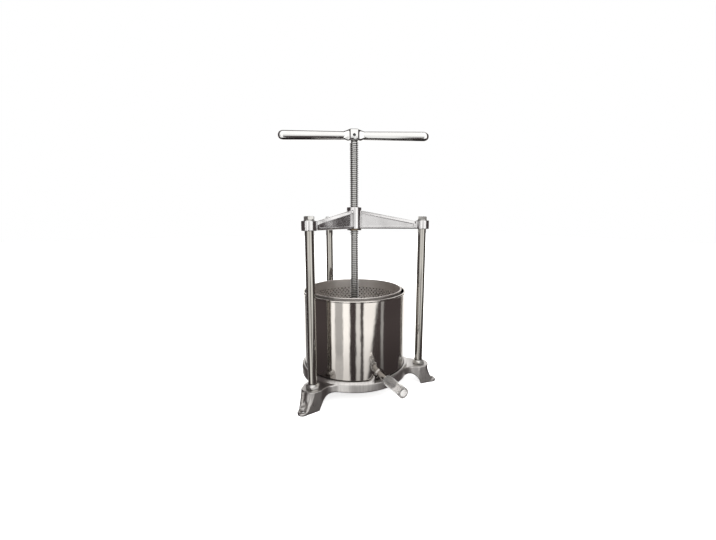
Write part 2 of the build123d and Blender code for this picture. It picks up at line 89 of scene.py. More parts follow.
class Coat(Enum):
    """Finishes on the press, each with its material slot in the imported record."""

    CAST = ("buffed casting", "cast_aluminium")
    BRIGHT_CAST = ("bright casting", "cast_aluminium")
    HANDLE = ("polished casting", "polished_aluminium")
    COLUMN = ("polished bar", "polished_steel")
    PIN = ("pin", "plated_fasteners")
    FASTENER = ("plating", "plated_fasteners")
    SCREW = ("rolled thread", "screw_steel")
    BRONZE = ("bearing bronze", "bronze")
    POT = ("mirror sheet", "polished_stainless")
    CAGE = ("satin sheet", "stainless_sheet")
    TUBE = ("clear vinyl", "clear_tube")

    @property
    def slot(self) -> str:
        """Return the name of the record's slot."""
        return self.value[1]


class Along(Enum):
    """What a metal's darkening follows."""

    REACH = "distance from the screw's axis"
    LEVEL = "height"


def linear(hex_colour: str) -> tuple[float, float, float, float]:
    """Turn an sRGB hex colour into linear light.

    Args:
        hex_colour: colour written as "#rrggbb".

    Returns:
        Linear red, green and blue, and an alpha of one.
    """
    parts = [int(hex_colour[start:start + 2], 16) / 255 for start in (1, 3, 5)]
    light = [c / 12.92 if c <= 0.04045 else ((c + 0.055) / 1.055) ** 2.4 for c in parts]
    return (*light, 1.0)


@dataclass
class Graph:
    """A node tree, with short ways to add the nodes that are used most."""

    tree: bpy.types.NodeTree

    def feed(self, node: Node, inputs: Inputs) -> None:
        """Set or link a node's inputs.

        Args:
            node: the node.
            inputs: a value, or a socket to link, for each input by name or number.
        """
        for key, value in inputs.items():
            if isinstance(value, Socket):
                self.tree.links.new(value, node.inputs[key])
            else:
                node.inputs[key].default_value = value

    def add(self, kind: str, inputs: Inputs | None = None, **settings: object) -> Node:
        """Add a node.

        Args:
            kind: the node's type name.
            inputs: what its inputs take.
            settings: values of the node's own properties.

        Returns:
            The new node.
        """
        node = self.tree.nodes.new(kind)
        for name, value in settings.items():
            setattr(node, name, value)
        self.feed(node, inputs or {})
        return node

    def maths(self, operation: str, *values: Value) -> Socket:
        """Add a sum of one or two values and return its result."""
        return self.add("ShaderNodeMath", dict(enumerate(values)), operation=operation).outputs[0]

    def vector(self, operation: str, *values: Value) -> Socket:
        """Add a sum of vectors and return the vector that it makes."""
        node = self.add("ShaderNodeVectorMath", dict(enumerate(values)), operation=operation)
        return node.outputs["Vector"]

    def measure(self, operation: str, *values: Value) -> Socket:
        """Add a sum of vectors and return the number that it makes."""
        node = self.add("ShaderNodeVectorMath", dict(enumerate(values)), operation=operation)
        return node.outputs["Value"]

    def joined(self, x: Value = 0.0, y: Value = 0.0, z: Value = 0.0) -> Socket:
        """Return the vector that three values make."""
        return self.add("ShaderNodeCombineXYZ", {"X": x, "Y": y, "Z": z}).outputs[0]

    def smooth(
        self, value: Socket, start: float, end: float, first: float = 0.0, last: float = 1.0
    ) -> Socket:
        """Lead gently from one level to another along a value.

        Args:
            value: what the level follows.
            start: where the first level ends.
            end: where the last level begins.
            first: the first level.
            last: the last level.

        Returns:
            The level.
        """
        inputs = {"Value": value, "From Min": start, "From Max": end, "To Min": first, "To Max": last}
        return self.add("ShaderNodeMapRange", inputs, interpolation_type="SMOOTHSTEP").outputs[0]

    def mixed(self, part: Socket, first: Value, second: Value) -> Socket:
        """Return a colour between two, by the share of the second."""
        inputs = {"Factor": part, MIX_FIRST: first, MIX_SECOND: second}
        return self.add("ShaderNodeMix", inputs, data_type="RGBA").outputs[MIX_RESULT]

    def tinted(self, hex_colour: str, strength: Socket) -> Socket:
        """Return light of a colour and a strength."""
        inputs = {0: linear(hex_colour)[:3], "Scale": strength}
        return self.add("ShaderNodeVectorMath", inputs, operation="SCALE").outputs[0]


def new_material(name: str) -> tuple[Material, Graph, Node]:
    """Make a material with an empty graph and its shader.

    Args:
        name: the real material and its finish.

    Returns:
        The material, its graph and its principled shader node.
    """
    material = bpy.data.materials.new(name)
    material.use_nodes = True
    graph = Graph(material.node_tree)
    graph.tree.nodes.clear()
    shader = graph.add("ShaderNodeBsdfPrincipled")
    graph.add("ShaderNodeOutputMaterial", {"Surface": shader.outputs[0]})
    return material, graph, shader


@dataclass(frozen=True)
class Metal:
    """Bare metal, with the marks of how its surface was made.

    Grain is the size of the marks along X, Y and Z, wave the size of the gentle unevenness
    under them, and stain the size of the cloudy patches that handling and polishing leave.
    Hollows within reach are darker: painted shade, read from ambient occlusion and mixed towards the same
    dark colour as the stains. A span is where a mark starts and where it is complete.
    """

    name: str
    colour: str
    stain_and_shade_colour: str
    roughness: float
    roughness_spread: float
    grain_mm: Sizes
    grain_depth_mm: float
    wave_mm: Sizes = (18.0, 18.0, 18.0)
    wave_depth_mm: float = 0.05
    stain_mm: Sizes = (45.0, 45.0, 45.0)
    stain_share: float = 0.2
    # Painted shade: hollows within this reach darken towards the dark colour, by this share and over this
    # span
    shade_reach_mm: float = 5.0
    painted_shade_share: float = 0.55
    grain_span: tuple[float, float] = (0.3, 0.7)
    stain_span: tuple[float, float] = (0.35, 0.75)
    painted_shade_span: tuple[float, float] = (0.65, 0.15)
    shade_samples: int = 6
    noise_detail: float = 3.0
    noise_roughness: float = 0.55

    def material(self) -> Material:
        """Build the metal's nodes.

        Returns:
            Its material.
        """
        material, graph, shader = new_material(self.name)
        place = graph.add("ShaderNodeTexCoord").outputs["Object"]
        grain = self.noise(graph, place, self.grain_mm)
        wave = self.noise(graph, place, self.wave_mm)
        tint = graph.mixed(self.stains_and_shade(graph, place), linear(self.colour), linear(self.stain_and_shade_colour))
        polish = graph.add(
            "ShaderNodeMapRange",
            {
                "Value": grain, "From Min": self.grain_span[0], "From Max": self.grain_span[1],
                "To Min": self.roughness - self.roughness_spread,
                "To Max": self.roughness + self.roughness_spread,
            },
        )
        uneven = graph.add(
            "ShaderNodeBump", {"Height": wave, "Distance": self.wave_depth_mm * MM, "Strength": 1.0}
        )
        bump = graph.add(
            "ShaderNodeBump",
            {
                "Height": grain, "Distance": self.grain_depth_mm * MM, "Strength": 1.0,
                "Normal": uneven.outputs[0],
            },
        )
        graph.feed(
            shader,
            {"Metallic": 1.0, "Base Color": tint, "Roughness": polish.outputs[0], "Normal": bump.outputs[0]},
        )
        return material

    def stains_and_shade(self, graph: Graph, place: Socket) -> Socket:
        """Darken the cloudy patches, and paint shade into the hollows.

        Args:
            graph: the material's graph.
            place: coordinates to read the patches at.

        Returns:
            Share of the dark colour: stains, and painted shade in the hollows.
        """
        stain = self.noise(graph, place, self.stain_mm)
        # Painted shade: ambient occlusion darkens the hollows within reach
        open_sky = graph.add(
            "ShaderNodeAmbientOcclusion",
            {"Distance": self.shade_reach_mm * MM}, samples=self.shade_samples,
        )
        cloud = graph.smooth(stain, *self.stain_span, last=self.stain_share)
        hollow = graph.smooth(open_sky.outputs["AO"], *self.painted_shade_span, last=self.painted_shade_share)
        return graph.maths("MAXIMUM", cloud, hollow)

    def noise(self, graph: Graph, place: Socket, size_mm: Sizes) -> Socket:
        """Add noise of a real size.

        Args:
            graph: the material's graph.
            place: coordinates to read it at.
            size_mm: size of its features along X, Y and Z.

        Returns:
            The noise.
        """
        marks = [1 / (size * MM) for size in size_mm]
        stretched = graph.add("ShaderNodeMapping", {"Vector": place, "Scale": marks})
        noise = graph.add(
            "ShaderNodeTexNoise",
            {
                "Vector": stretched.outputs[0], "Scale": 1.0,
                "Detail": self.noise_detail, "Roughness": self.noise_roughness,
            },
        )
        return noise.outputs["Fac"]


@dataclass(frozen=True, kw_only=True)
class GradedMetal(Metal):
    """Metal that darkens steadily from one place towards another."""

    along: Along
    light_end_mm: float
    dark_end_mm: float
    dark_end_share: float

    def stains_and_shade(self, graph: Graph, place: Socket) -> Socket:
        """Add the steady darkening to the stains and the painted shade.

        Args:
            graph: the material's graph.
            place: coordinates to read it at.

        Returns:
            Share of the dark colour.
        """
        if self.along is Along.REACH:
            value = graph.measure("LENGTH", graph.vector("MULTIPLY", place, FLAT))
        else:
            value = graph.add("ShaderNodeSeparateXYZ", {0: place}).outputs["Z"]
        graded = graph.smooth(value, self.light_end_mm * MM, self.dark_end_mm * MM, last=self.dark_end_share)
        return graph.maths("MAXIMUM", graded, super().stains_and_shade(graph, place))


@dataclass(frozen=True)
class ClearVinyl:
    """Soft clear tube: lets light through, a little milky, with faint drawing lines along it."""

    name: str = "clear_vinyl_extruded"
    colour: str = "#dcdad8"
    roughness: float = 0.14
    least_share: float = 0.6
    most_share: float = 1.6
    line_mm: float = 1.2
    line_length_mm: float = 60.0
    refraction: float = 1.53
    clearness: float = 0.88

    def material(self) -> Material:
        """Build the vinyl's nodes.

        Returns:
            Its material.
        """
        material, graph, shader = new_material(self.name)
        place = graph.add("ShaderNodeTexCoord").outputs["Object"]
        across = 1 / (self.line_mm * MM)
        along = 1 / (self.line_length_mm * MM)
        stretched = graph.add("ShaderNodeMapping", {"Vector": place, "Scale": (across, along, across)})
        lines = graph.add("ShaderNodeTexNoise", {"Vector": stretched.outputs[0], "Scale": 1.0})
        dull = graph.add(
            "ShaderNodeMapRange",
            {
                "Value": lines.outputs["Fac"],
                "To Min": self.roughness * self.least_share, "To Max": self.roughness * self.most_share,
            },
        )
        graph.feed(
            shader,
            {
                "Base Color": linear(self.colour), "IOR": self.refraction,
                "Transmission Weight": self.clearness, "Roughness": dull.outputs[0],
            },
        )
        return material


@dataclass
class Finishes:
    """Every finish on the press, made once and shared by its pieces."""

    made: dict[Coat, Material] = field(default_factory=dict)

    def build(self) -> None:
        """Make the materials of all finishes."""
        fine = (1.1, 1.1, 1.1)
        # Each metal's second colour darkens its stains and, as painted shade, its hollows
        finishes = {
            # Sand-cast aluminium, ground: its colour darkens from the ring out along the legs
            Coat.CAST: GradedMetal(
                "cast_aluminium_buffed", "#d4d1cf", "#5a5653", 0.34, 0.07, (1.3, 1.3, 14.0), 0.003,
                wave_depth_mm=0.04, stain_mm=(3.5, 3.5, 50.0), stain_share=0.2,
                along=Along.REACH, light_end_mm=116.0, dark_end_mm=127.0, dark_end_share=0.25,
            ),
            # The crosshead is smoother, and mirrors its own arms
            Coat.BRIGHT_CAST: Metal(
                "cast_aluminium_linished", "#e2e1e2", "#706c69", 0.15, 0.04, fine, 0.002, wave_depth_mm=0.04
            ),
            # The handle is buffed further than the other castings; strong painted shade darkens its hollows,
            # such as the pin hole
            Coat.HANDLE: Metal(
                "cast_aluminium_polished", "#e9e9e8", "#3d3a38", 0.09, 0.02, fine, 0.001,
                wave_depth_mm=0.02, stain_share=0.04, painted_shade_share=0.9,
            ),
            # Drawn bar, polished lengthwise: sharp reflections with fine upright lines
            Coat.COLUMN: Metal(
                "steel_bar_polished", "#b7b4ae", "#5c5854", 0.06, 0.02, (0.9, 0.9, 90.0), 0.001,
                wave_mm=(9.0, 9.0, 120.0), wave_depth_mm=0.02, stain_share=0.1,
            ),
            # Bright zinc plating on turned and pressed fasteners
            Coat.FASTENER: Metal("steel_zinc_plated", "#e4e3e0", "#5f5b58", 0.34, 0.05, fine, 0.003),
            # Black oxide on the spring steel of the roll pin
            Coat.PIN: Metal("steel_pin_black_oxide", "#262524", "#0d0c0c", 0.5, 0.05, fine, 0.003),
            # Rolled thread: lighter at its crests and darker towards its roots
            Coat.SCREW: GradedMetal(
                "steel_thread_rolled", "#e2e2e1", "#3f3d3a", 0.38, 0.06, fine, 0.004, stain_share=0.08,
                along=Along.REACH, light_end_mm=8.9, dark_end_mm=7.6, dark_end_share=0.66,
            ),
            # Bearing bronze, turned and dulled by oil
            Coat.BRONZE: Metal(
                "bronze_turned_oiled", "#6f6355", "#3a322a", 0.36, 0.08, (2.0, 2.0, 0.3), 0.004
            ),
            # Spun sheet, mirror polished: upright wipe marks, a colour that darkens towards its foot, and
            # deep painted shade in hollows within 12 mm, such as the gap round the cage
            Coat.POT: GradedMetal(
                "stainless_sheet_mirror", "#d6d1cc", "#2e2927", 0.09, 0.03, (1.6, 1.6, 120.0), 0.001,
                wave_mm=(40.0, 40.0, 75.0), wave_depth_mm=0.4, stain_share=0.06,
                shade_reach_mm=12.0, painted_shade_share=0.85,
                along=Along.LEVEL, light_end_mm=165.0, dark_end_mm=45.0, dark_end_share=0.42,
            ),
            # Perforated sheet as rolled: satin, with faint painted shade in hollows within 1.5 mm
            Coat.CAGE: Metal(
                "stainless_sheet_satin", "#e6e1dd", "#6a635e", 0.45, 0.05, fine, 0.002,
                shade_reach_mm=1.5, painted_shade_share=0.3,
            ),
            Coat.TUBE: ClearVinyl(),
        }
        for coat, finish in finishes.items():
            self.made[coat] = finish.material()

    def of(self, coat: Coat) -> Material:
        """Return the material of a finish."""
        return self.made[coat]

    def dress(self, node: str, coat: Coat) -> None:
        """Give a solid that stays in view its finish.

        Args:
            node: name of the solid.
            coat: the finish that it takes.
        """
        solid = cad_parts[node]
        for place in solid.material_slots:
            place.material = self.of(coat)
        LOG.info("%s dressed in %s", node, coat.value[0])


def put(name: str, data: bpy.types.ID) -> Piece:
    """Put new data in the scene.

    Args:
        name: the object's name.
        data: its mesh, lamp or camera.

    Returns:
        The object.
    """
    piece = bpy.data.objects.new(name, data)
    bpy.context.scene.collection.objects.link(piece)
    return piece


def new_piece(name: str, shape: Shape, material: Material) -> Piece:
    """Make an object of a shape.

    Args:
        name: the piece's name.
        shape: its mesh in metres, freed here.
        material: its finish.

    Returns:
        The new object, with its faces turned outwards.
    """
    bmesh.ops.recalc_face_normals(shape, faces=shape.faces)
    mesh = bpy.data.meshes.new(name)
    shape.to_mesh(mesh)
    shape.free()
    mesh.materials.append(material)
    return put(name, mesh)


def settle(piece: Piece, crease_deg: float = 32.0) -> Piece:
    """Turn a piece and its modifiers into one plain mesh, smooth except at its creases.

    Args:
        piece: the object.
        crease_deg: edges sharper than this stay sharp.

    Returns:
        The same object.
    """
    bpy.context.view_layer.update()
    graph = bpy.context.evaluated_depsgraph_get()
    mesh = bpy.data.meshes.new_from_object(piece.evaluated_get(graph))
    piece.modifiers.clear()
    piece.data = mesh
    mesh.name = piece.name
    mesh.shade_smooth()
    mesh.set_sharp_from_angle(angle=math.radians(crease_deg))
    return piece


def fit(piece: Piece, body: str, coat: Coat, *nodes: str) -> None:
    """Hang a finished piece on its body, in the place of its solids.

    Args:
        piece: the finished object.
        body: the body that carries it.
        coat: its finish; not used.
        nodes: the solids that it stands for.
    """
    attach(piece, body)
    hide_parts(*nodes)
    LOG.info("%s stands for %s", piece.name, ", ".join(nodes))


def drilled(piece: Piece, *tools: Shape) -> Piece:
    """Cut the shapes of tools out of a piece.

    Args:
        piece: the object.
        tools: shapes of the holes, freed here.

    Returns:
        The same object, as a plain mesh.
    """
    drills = [new_piece(f"{piece.name}_drill", tool, piece.data.materials[0]) for tool in tools]
    for drill in drills:
        cut = piece.modifiers.new(drill.name, "BOOLEAN")
        cut.operation = "DIFFERENCE"
        cut.object = drill
    settle(piece)
    for drill in drills:
        bpy.data.objects.remove(drill)
    return piece


def share(value: float, start: float, end: float) -> float:
    """Return how far a value has come from a start to an end, from 0 to 1."""
    return min(max((value - start) / (end - start), 0.0), 1.0)


def ease(value: float, start: float, end: float) -> float:
    """Return the same share, slow at both ends."""
    part = share(value, start, end)
    return part * part * (3 - 2 * part)


def polar(radius: float, angle: float) -> tuple[float, float]:
    """Return the point at a distance and an angle."""
    return radius * math.cos(angle), radius * math.sin(angle)


def arc(
    across: float, height: float, radius: float, start: float = 0.0, sweep: float = TURN
) -> list[Corner]:
    """Return points along an arc of an outline.

    Args:
        across: distance of the arc's centre from the axis.
        height: level of the centre.
        radius: the arc's radius.
        start: angle of its first point.
        sweep: angle that it turns through.

    Returns:
        The points, both ends included.
    """
    points = [polar(radius, start + sweep * step / BEAD_STEPS) for step in range(BEAD_STEPS + 1)]
    return [(across + right, height + up) for right, up in points]


def rounded(corners: Sequence[Corner]) -> list[Vector]:
    """Round the corners of an outline.

    Args:
        corners: distance from the axis, height and, at a round corner, its radius.

    Returns:
        The outline's points.
    """
    points = []
    for index, (across, height, *radius) in enumerate(corners):
        here = Vector((across, height))
        if not radius:
            points.append(here)
            continue
        back = (Vector(corners[index - 1][:2]) - here).normalized()
        ahead = (Vector(corners[(index + 1) % len(corners)][:2]) - here).normalized()
        half = back.angle(ahead) / 2
        centre = here + (back + ahead).normalized() * radius[0] / math.sin(half)
        first = here + back * radius[0] / math.tan(half) - centre
        last = here + ahead * radius[0] / math.tan(half) - centre
        for step in range(CORNER_STEPS + 1):
            points.append(centre + first.slerp(last, step / CORNER_STEPS) * radius[0])
    return points


def skin(shape: Shape, rings: Sequence[Sequence[bmesh.types.BMVert]]) -> None:
    """Join each ring of points to the next with faces.

    Args:
        shape: the shape that takes the faces.
        rings: its points, ring by ring; a ring of one repeated point closes an end.
    """
    for low, high in zip(rings, rings[1:]):
        for step in range(len(low)):
            after = (step + 1) % len(low)
            corners = [low[step], low[after], high[after], high[step]]
            shape.faces.new(list(dict.fromkeys(corners)))


def turned(corners: Sequence[Corner], loop: bool, segments: int = SMALL_SEGMENTS) -> Shape:
    """Turn an outline round the Z axis.

    Args:
        corners: distance from the axis, height and, at a round corner, its radius.
        loop: whether the outline closes on itself, or runs from the axis to the axis.
        segments: steps round the axis.

    Returns:
        The closed shape.
    """
    shape = bmesh.new()
    rings = []
    angles = [TURN * step / segments for step in range(segments)]
    for across, height in rounded(corners):
        if across < JOIN_GAP:
            rings.append([shape.verts.new((0, 0, height))] * segments)
        else:
            rings.append([shape.verts.new((*polar(across, angle), height)) for angle in angles])
    if loop:
        rings.append(rings[0])
    skin(shape, rings)
    return shape


def plug(radius: float, low: float, high: float) -> Shape:
    """Return a plain round bar along Z."""
    return turned([(0, low), (radius, low), (radius, high), (0, high)], loop=False)


def sleeve(inner_r: float, outer_r: float, low: float, high: float, edge_r: float) -> Shape:
    """Return a plain ring along Z, with round edges."""
    square = ((inner_r, low), (outer_r, low), (outer_r, high), (inner_r, high))
    return turned([(*corner, edge_r) for corner in square], loop=True)


def laid(shape: Shape, matrix: Matrix) -> Shape:
    """Turn and move a shape, and return it."""
    bmesh.ops.transform(shape, matrix=matrix, verts=shape.verts)
    return shape


@dataclass(frozen=True)
class Hexagon:
    """Hexagon nut or bolt head with turned corners, standing on z = 0."""

    across_flats: float
    height: float
    bore: float
    cone_r: float
    cone_deg: float
    foot_share: float = 0.95
    foot_deg: float = 30.0
    segments: int = 72

    def shape(self) -> Shape:
        """Build the hexagon, with a hole where it has a bore.

        Returns:
            The closed shape.
        """
        flat_r = self.across_flats / 2
        foot_r = flat_r * self.foot_share
        foot_slope = math.tan(math.radians(self.foot_deg))
        cone_slope = math.tan(math.radians(self.cone_deg))
        angles = [TURN * step / self.segments for step in range(self.segments)]
        sixth = TURN / 6
        sides = [flat_r / math.cos((angle + sixth / 2) % sixth - sixth / 2) for angle in angles]
        rows = [
            [(foot_r, 0.0)] * self.segments,
            [(side, (side - foot_r) * foot_slope) for side in sides],
            [(side, self.height - (side - self.cone_r) * cone_slope) for side in sides],
            [(self.cone_r, self.height)] * self.segments,
        ]
        if self.bore > 0:
            lip = (self.bore + self.cone_r) / 2
            lead = lip - self.bore
            hole = [(lip, self.height), (self.bore, self.height - lead), (self.bore, lead), (lip, 0.0)]
            rows += [[point] * self.segments for point in hole]
        shape = bmesh.new()
        rings = [
            [shape.verts.new((*polar(across, angle), level)) for angle, (across, level) in zip(angles, row)]
            for row in rows
        ]
        if self.bore > 0:
            rings.append(rings[0])
        else:
            shape.faces.new(rings[0])
            shape.faces.new(rings[-1])
        skin(shape, rings)
        return shape


@dataclass
class Recipe(Graph):
    """A geometry node tree with named inputs, run once to make a piece of its finish."""

    tree: bpy.types.NodeTree = field(init=False)
    name: str
    inputs: dict[str, float | int | Piece | Material]
    source: Node = field(init=False)

    def __post_init__(self) -> None:
        """Make the tree with its inputs and its output."""
        self.tree = bpy.data.node_groups.new(self.name, "GeometryNodeTree")
        for label, value in self.inputs.items():
            kind = SOCKET_KINDS[type(value)]
            self.tree.interface.new_socket(name=label, in_out="INPUT", socket_type=kind)
        self.tree.interface.new_socket(name="Geometry", in_out="OUTPUT", socket_type="NodeSocketGeometry")
        self.source = self.tree.nodes.new("NodeGroupInput")

    def __getitem__(self, label: str) -> Socket:
        """Return the tree's own input of that name."""
        return self.source.outputs[label]

    def on_circle(self, angle: Socket, radius: Socket, height: Socket) -> Socket:
        """Return the place at an angle round the Z axis.

        Args:
            angle: that angle.
            radius: distance from the axis.
            height: level of the place.

        Returns:
            The place.
        """
        across = self.maths("MULTIPLY", self.maths("COSINE", angle), radius)
        away = self.maths("MULTIPLY", self.maths("SINE", angle), radius)
        return self.joined(across, away, height)

    def moved(self, shape: Socket, place: Socket) -> Socket:
        """Return a shape with its points in new places."""
        return self.add("GeometryNodeSetPosition", {"Geometry": shape, "Position": place}).outputs[0]

    def shifted(self, shape: Socket, offset: Socket) -> Socket:
        """Return a shape that is moved as a whole."""
        return self.add("GeometryNodeTransform", {"Geometry": shape, "Translation": offset}).outputs[0]

    def copies(self, unit: Socket, count: Socket, place: Socket, turn: Socket | None = None) -> Socket:
        """Set copies of an object, each in a place that follows from its order.

        Args:
            unit: the object.
            count: how many copies there are.
            place: where each one stands.
            turn: how each one is turned, if at all.

        Returns:
            The copies.
        """
        spots = self.add("GeometryNodeMeshLine", {"Count": count, "Offset": (0, 0, 0)})
        shape = self.add("GeometryNodeObjectInfo", {"Object": unit})
        inputs = {"Points": self.moved(spots.outputs[0], place), "Instance": shape.outputs["Geometry"]}
        if turn:
            inputs["Rotation"] = turn
        return self.add("GeometryNodeInstanceOnPoints", inputs).outputs[0]

    def run(self, name: str, shape: Socket) -> Piece:
        """End the tree, run it and keep what it makes.

        Args:
            name: the new piece's name.
            shape: the geometry that the tree makes.

        Returns:
            The new piece, as a plain mesh.
        """
        real = self.add("GeometryNodeRealizeInstances", {"Geometry": shape})
        painted = self.add(
            "GeometryNodeSetMaterial", {"Geometry": real.outputs[0], "Material": self["Finish"]}
        )
        end = self.tree.nodes.new("NodeGroupOutput")
        self.tree.links.new(painted.outputs[0], end.inputs[0])
        piece = put(name, bpy.data.meshes.new(name))
        modifier = piece.modifiers.new(self.name, "NODES")
        modifier.node_group = self.tree
        for item in self.tree.interface.items_tree:
            if item.in_out == "INPUT":
                modifier[item.identifier] = self.inputs[item.name]
        return settle(piece)


@dataclass
class Group:
    """Pieces of the press that belong together, and the finishes that they share."""

    finishes: Finishes

    def place(self, name: str, shape: Shape, coat: Coat, body: str, node: str) -> None:
        """Make a piece of a shape, and hang it on its body in the place of its solid."""
        fit(settle(new_piece(name, shape, self.finishes.of(coat))), body, coat, node)


@dataclass
class Columns(Group):
    """Three polished bars with their foot nuts, and the bolts and washers on top."""

    nodes: tuple[str, ...] = ("column_front_left", "column_front_right", "column_rear")
    foot_r: float = 8.0 * MM
    edge_r: float = 1.8 * MM
    nut_flats: float = 24.0 * MM
    nut_cone_r: float = 9.4 * MM
    nut_cone_deg: float = 42.0
    bolt_r: float = 5.0 * MM
    bolt_flats: float = 17.0 * MM
    bolt_crown_share: float = 0.475
    bolt_crown_deg: float = 30.0
    shank_overlap: float = 1.0 * MM
    washer_edge_r: float = 0.35 * MM

    def build(self) -> None:
        """Build the bars and their fasteners."""
        nut_low, nut_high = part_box("column_foot_nuts")
        for node in self.nodes:
            low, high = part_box(node)
            centre = (low + high) / 2
            bar_r = (high.x - low.x) / 2
            shape = turned(
                [
                    (0, low.z), (self.foot_r, low.z), (self.foot_r, nut_high.z),
                    (bar_r, nut_high.z, self.edge_r), (bar_r, high.z, self.edge_r), (0, high.z),
                ],
                loop=False,
            )
            bmesh.ops.translate(shape, verts=shape.verts, vec=(centre.x, centre.y, 0))
            self.place(f"bar_{node}", shape, Coat.COLUMN, FRAME_BODY, node)
        rear_low, rear_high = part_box("column_rear")
        self.fasten((rear_low.y + rear_high.y) / 2, nut_low.z, nut_high.z - nut_low.z)

    def fasten(self, circle_r: float, nut_z: float, nut_h: float) -> None:
        """Add the nuts, washers and bolts at every column.

        Args:
            circle_r: distance of the columns from the screw.
            nut_z: level of the pads that the nuts stand on.
            nut_h: height of a foot nut.
        """
        nut = Hexagon(self.nut_flats, nut_h, self.foot_r, self.nut_cone_r, self.nut_cone_deg)
        self.set_out("foot_nuts", nut.shape(), circle_r, nut_z, "column_foot_nuts")
        low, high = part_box("crosshead_washers")
        washer = sleeve(self.bolt_r, high.y - circle_r, 0, high.z - low.z, self.washer_edge_r)
        self.set_out("head_washers", washer, circle_r, low.z, "crosshead_washers")
        bolt_low, bolt_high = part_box("crosshead_bolts")
        crown_r = self.bolt_flats * self.bolt_crown_share
        bolt = Hexagon(self.bolt_flats, bolt_high.z - high.z, 0.0, crown_r, self.bolt_crown_deg).shape()
        shank = plug(self.bolt_r, bolt_low.z - high.z, self.shank_overlap)
        spare = bpy.data.meshes.new("shank")
        shank.to_mesh(spare)
        shank.free()
        bolt.from_mesh(spare)
        bpy.data.meshes.remove(spare)
        self.set_out("head_bolts", bolt, circle_r, high.z, "crosshead_bolts")

    def set_out(self, name: str, shape: Shape, circle_r: float, height: float, node: str) -> None:
        """Set one copy of a fastener at each column.

        Args:
            name: the name of the piece that holds the copies.
            shape: the shape of one copy, on the Z axis.
            circle_r: distance of the columns from the screw.
            height: level of the copies.
            node: the solids that they stand for.
        """
        plating = self.finishes.of(Coat.FASTENER)
        unit = new_piece(name + "_unit", shape, plating)
        recipe = Recipe(
            "copies_on_column_circle",
            {
                "Unit": unit, "Copies": COLUMN_COUNT, "Circle Radius": circle_r, "Height": height,
                "First Angle": TURN / 4, "Finish": plating,
            },
        )
        step = recipe.maths("DIVIDE", TURN, recipe["Copies"])
        order = recipe.add("GeometryNodeInputIndex").outputs[0]
        angle = recipe.maths("ADD", recipe.maths("MULTIPLY", order, step), recipe["First Angle"])
        place = recipe.on_circle(angle, recipe["Circle Radius"], recipe["Height"])
        copies = recipe.copies(recipe["Unit"], recipe["Copies"], place, recipe.joined(z=angle))
        piece = recipe.run(name, copies)
        bpy.data.objects.remove(unit)
        fit(piece, FRAME_BODY, Coat.FASTENER, node)


@dataclass
class Castings(Group):
    """Base, crosshead and pressure plate, as they come from the foundry and the buffing wheel."""

    arm_root_x: float = 16.0 * MM
    arm_tip_x: float = 128.0 * MM
    arm_root_top: float = 375.0 * MM
    arm_fall: float = (37.8 - 13.3) / (142.5 - 16.0)
    arm_half_w: float = 8.5 * MM
    arm_margin: float = 1.0 * MM
    flange_bevel: float = 6.2 * MM
    ease_factor: float = 0.5
    crease_deg: float = 80.0

    def build(self) -> None:
        """Build the three castings, and dress what sits in them."""
        self.cast("base_casting", "cast_base", Coat.CAST, FRAME_BODY, grid_mm=0.9, passes=16, keep=0.38)
        self.cast(
            "crosshead", "cast_crosshead", Coat.BRIGHT_CAST, FRAME_BODY,
            grid_mm=0.6, passes=9, keep=0.5, trim=self.bevel_flanges,
        )
        self.cast("pressure_plate", "cast_plate", Coat.CAST, PLATE_BODY, grid_mm=0.9, passes=10, keep=0.5)
        for node in ("spindle_nut", "plate_bush", "thrust_washer"):
            self.finishes.dress(node, Coat.BRONZE)
        for node in ("spindle_nut_screw", "keeper_washer", "keeper_screw"):
            self.finishes.dress(node, Coat.FASTENER)

    def cast(
        self, node: str, name: str, coat: Coat, body: str, grid_mm: float, passes: int, keep: float,
        trim: Callable[[bpy.types.Mesh], None] | None = None,
    ) -> None:
        """Give a casting the soft edges that it leaves the sand mould with.

        Args:
            node: the solid to follow.
            name: the new piece's name.
            coat: its finish.
            body: the body that carries it.
            grid_mm: how finely its skin is drawn.
            passes: how often the skin is eased.
            keep: share of the skin's faces to keep.
            trim: what is filed off the skin before it is eased, if anything.
        """
        shape = bmesh.new()
        shape.from_mesh(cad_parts[node].data)
        bmesh.ops.remove_doubles(shape, verts=shape.verts, dist=JOIN_GAP)
        mesh = bpy.data.meshes.new(name)
        shape.to_mesh(mesh)
        shape.free()
        piece = put(name, mesh)
        grid = piece.modifiers.new("grid", "REMESH")
        grid.mode = "VOXEL"
        grid.voxel_size = grid_mm * MM
        settle(piece)
        if trim:
            trim(piece.data)
        soften = piece.modifiers.new("soften", "SMOOTH")
        soften.factor = self.ease_factor
        soften.iterations = passes
        thin = piece.modifiers.new("thin", "DECIMATE")
        thin.ratio = keep
        settle(piece, self.crease_deg)
        piece.data.materials.clear()
        piece.data.materials.append(self.finishes.of(coat))
        fit(piece, body, coat, node)

    def bevel_flanges(self, mesh: bpy.types.Mesh) -> None:
        """Slope the upper edges of the crosshead's arms, where a file has taken the corner off.

        Args:
            mesh: the crosshead's skin, changed in place.
        """
        third = TURN / COLUMN_COUNT
        for vert in mesh.vertices:
            reach = math.hypot(vert.co.x, vert.co.y)
            off_arm = (math.atan2(vert.co.y, vert.co.x) - TURN / 4 + third / 2) % third - third / 2
            along = reach * math.cos(off_arm)
            if not self.arm_root_x < along < self.arm_tip_x:
                continue
            aside = reach * abs(math.sin(off_arm))
            top = self.arm_root_top - (along - self.arm_root_x) * self.arm_fall
            over = vert.co.z - top + aside - self.arm_half_w + self.flange_bevel
            if over > 0 and aside <= self.arm_half_w + self.arm_margin:
                vert.co.z -= over / 2
                turn = math.atan2(vert.co.y, vert.co.x) - off_arm
                side = math.copysign(over / 2, off_arm)
                vert.co.x += side * math.sin(turn)
                vert.co.y -= side * math.cos(turn)


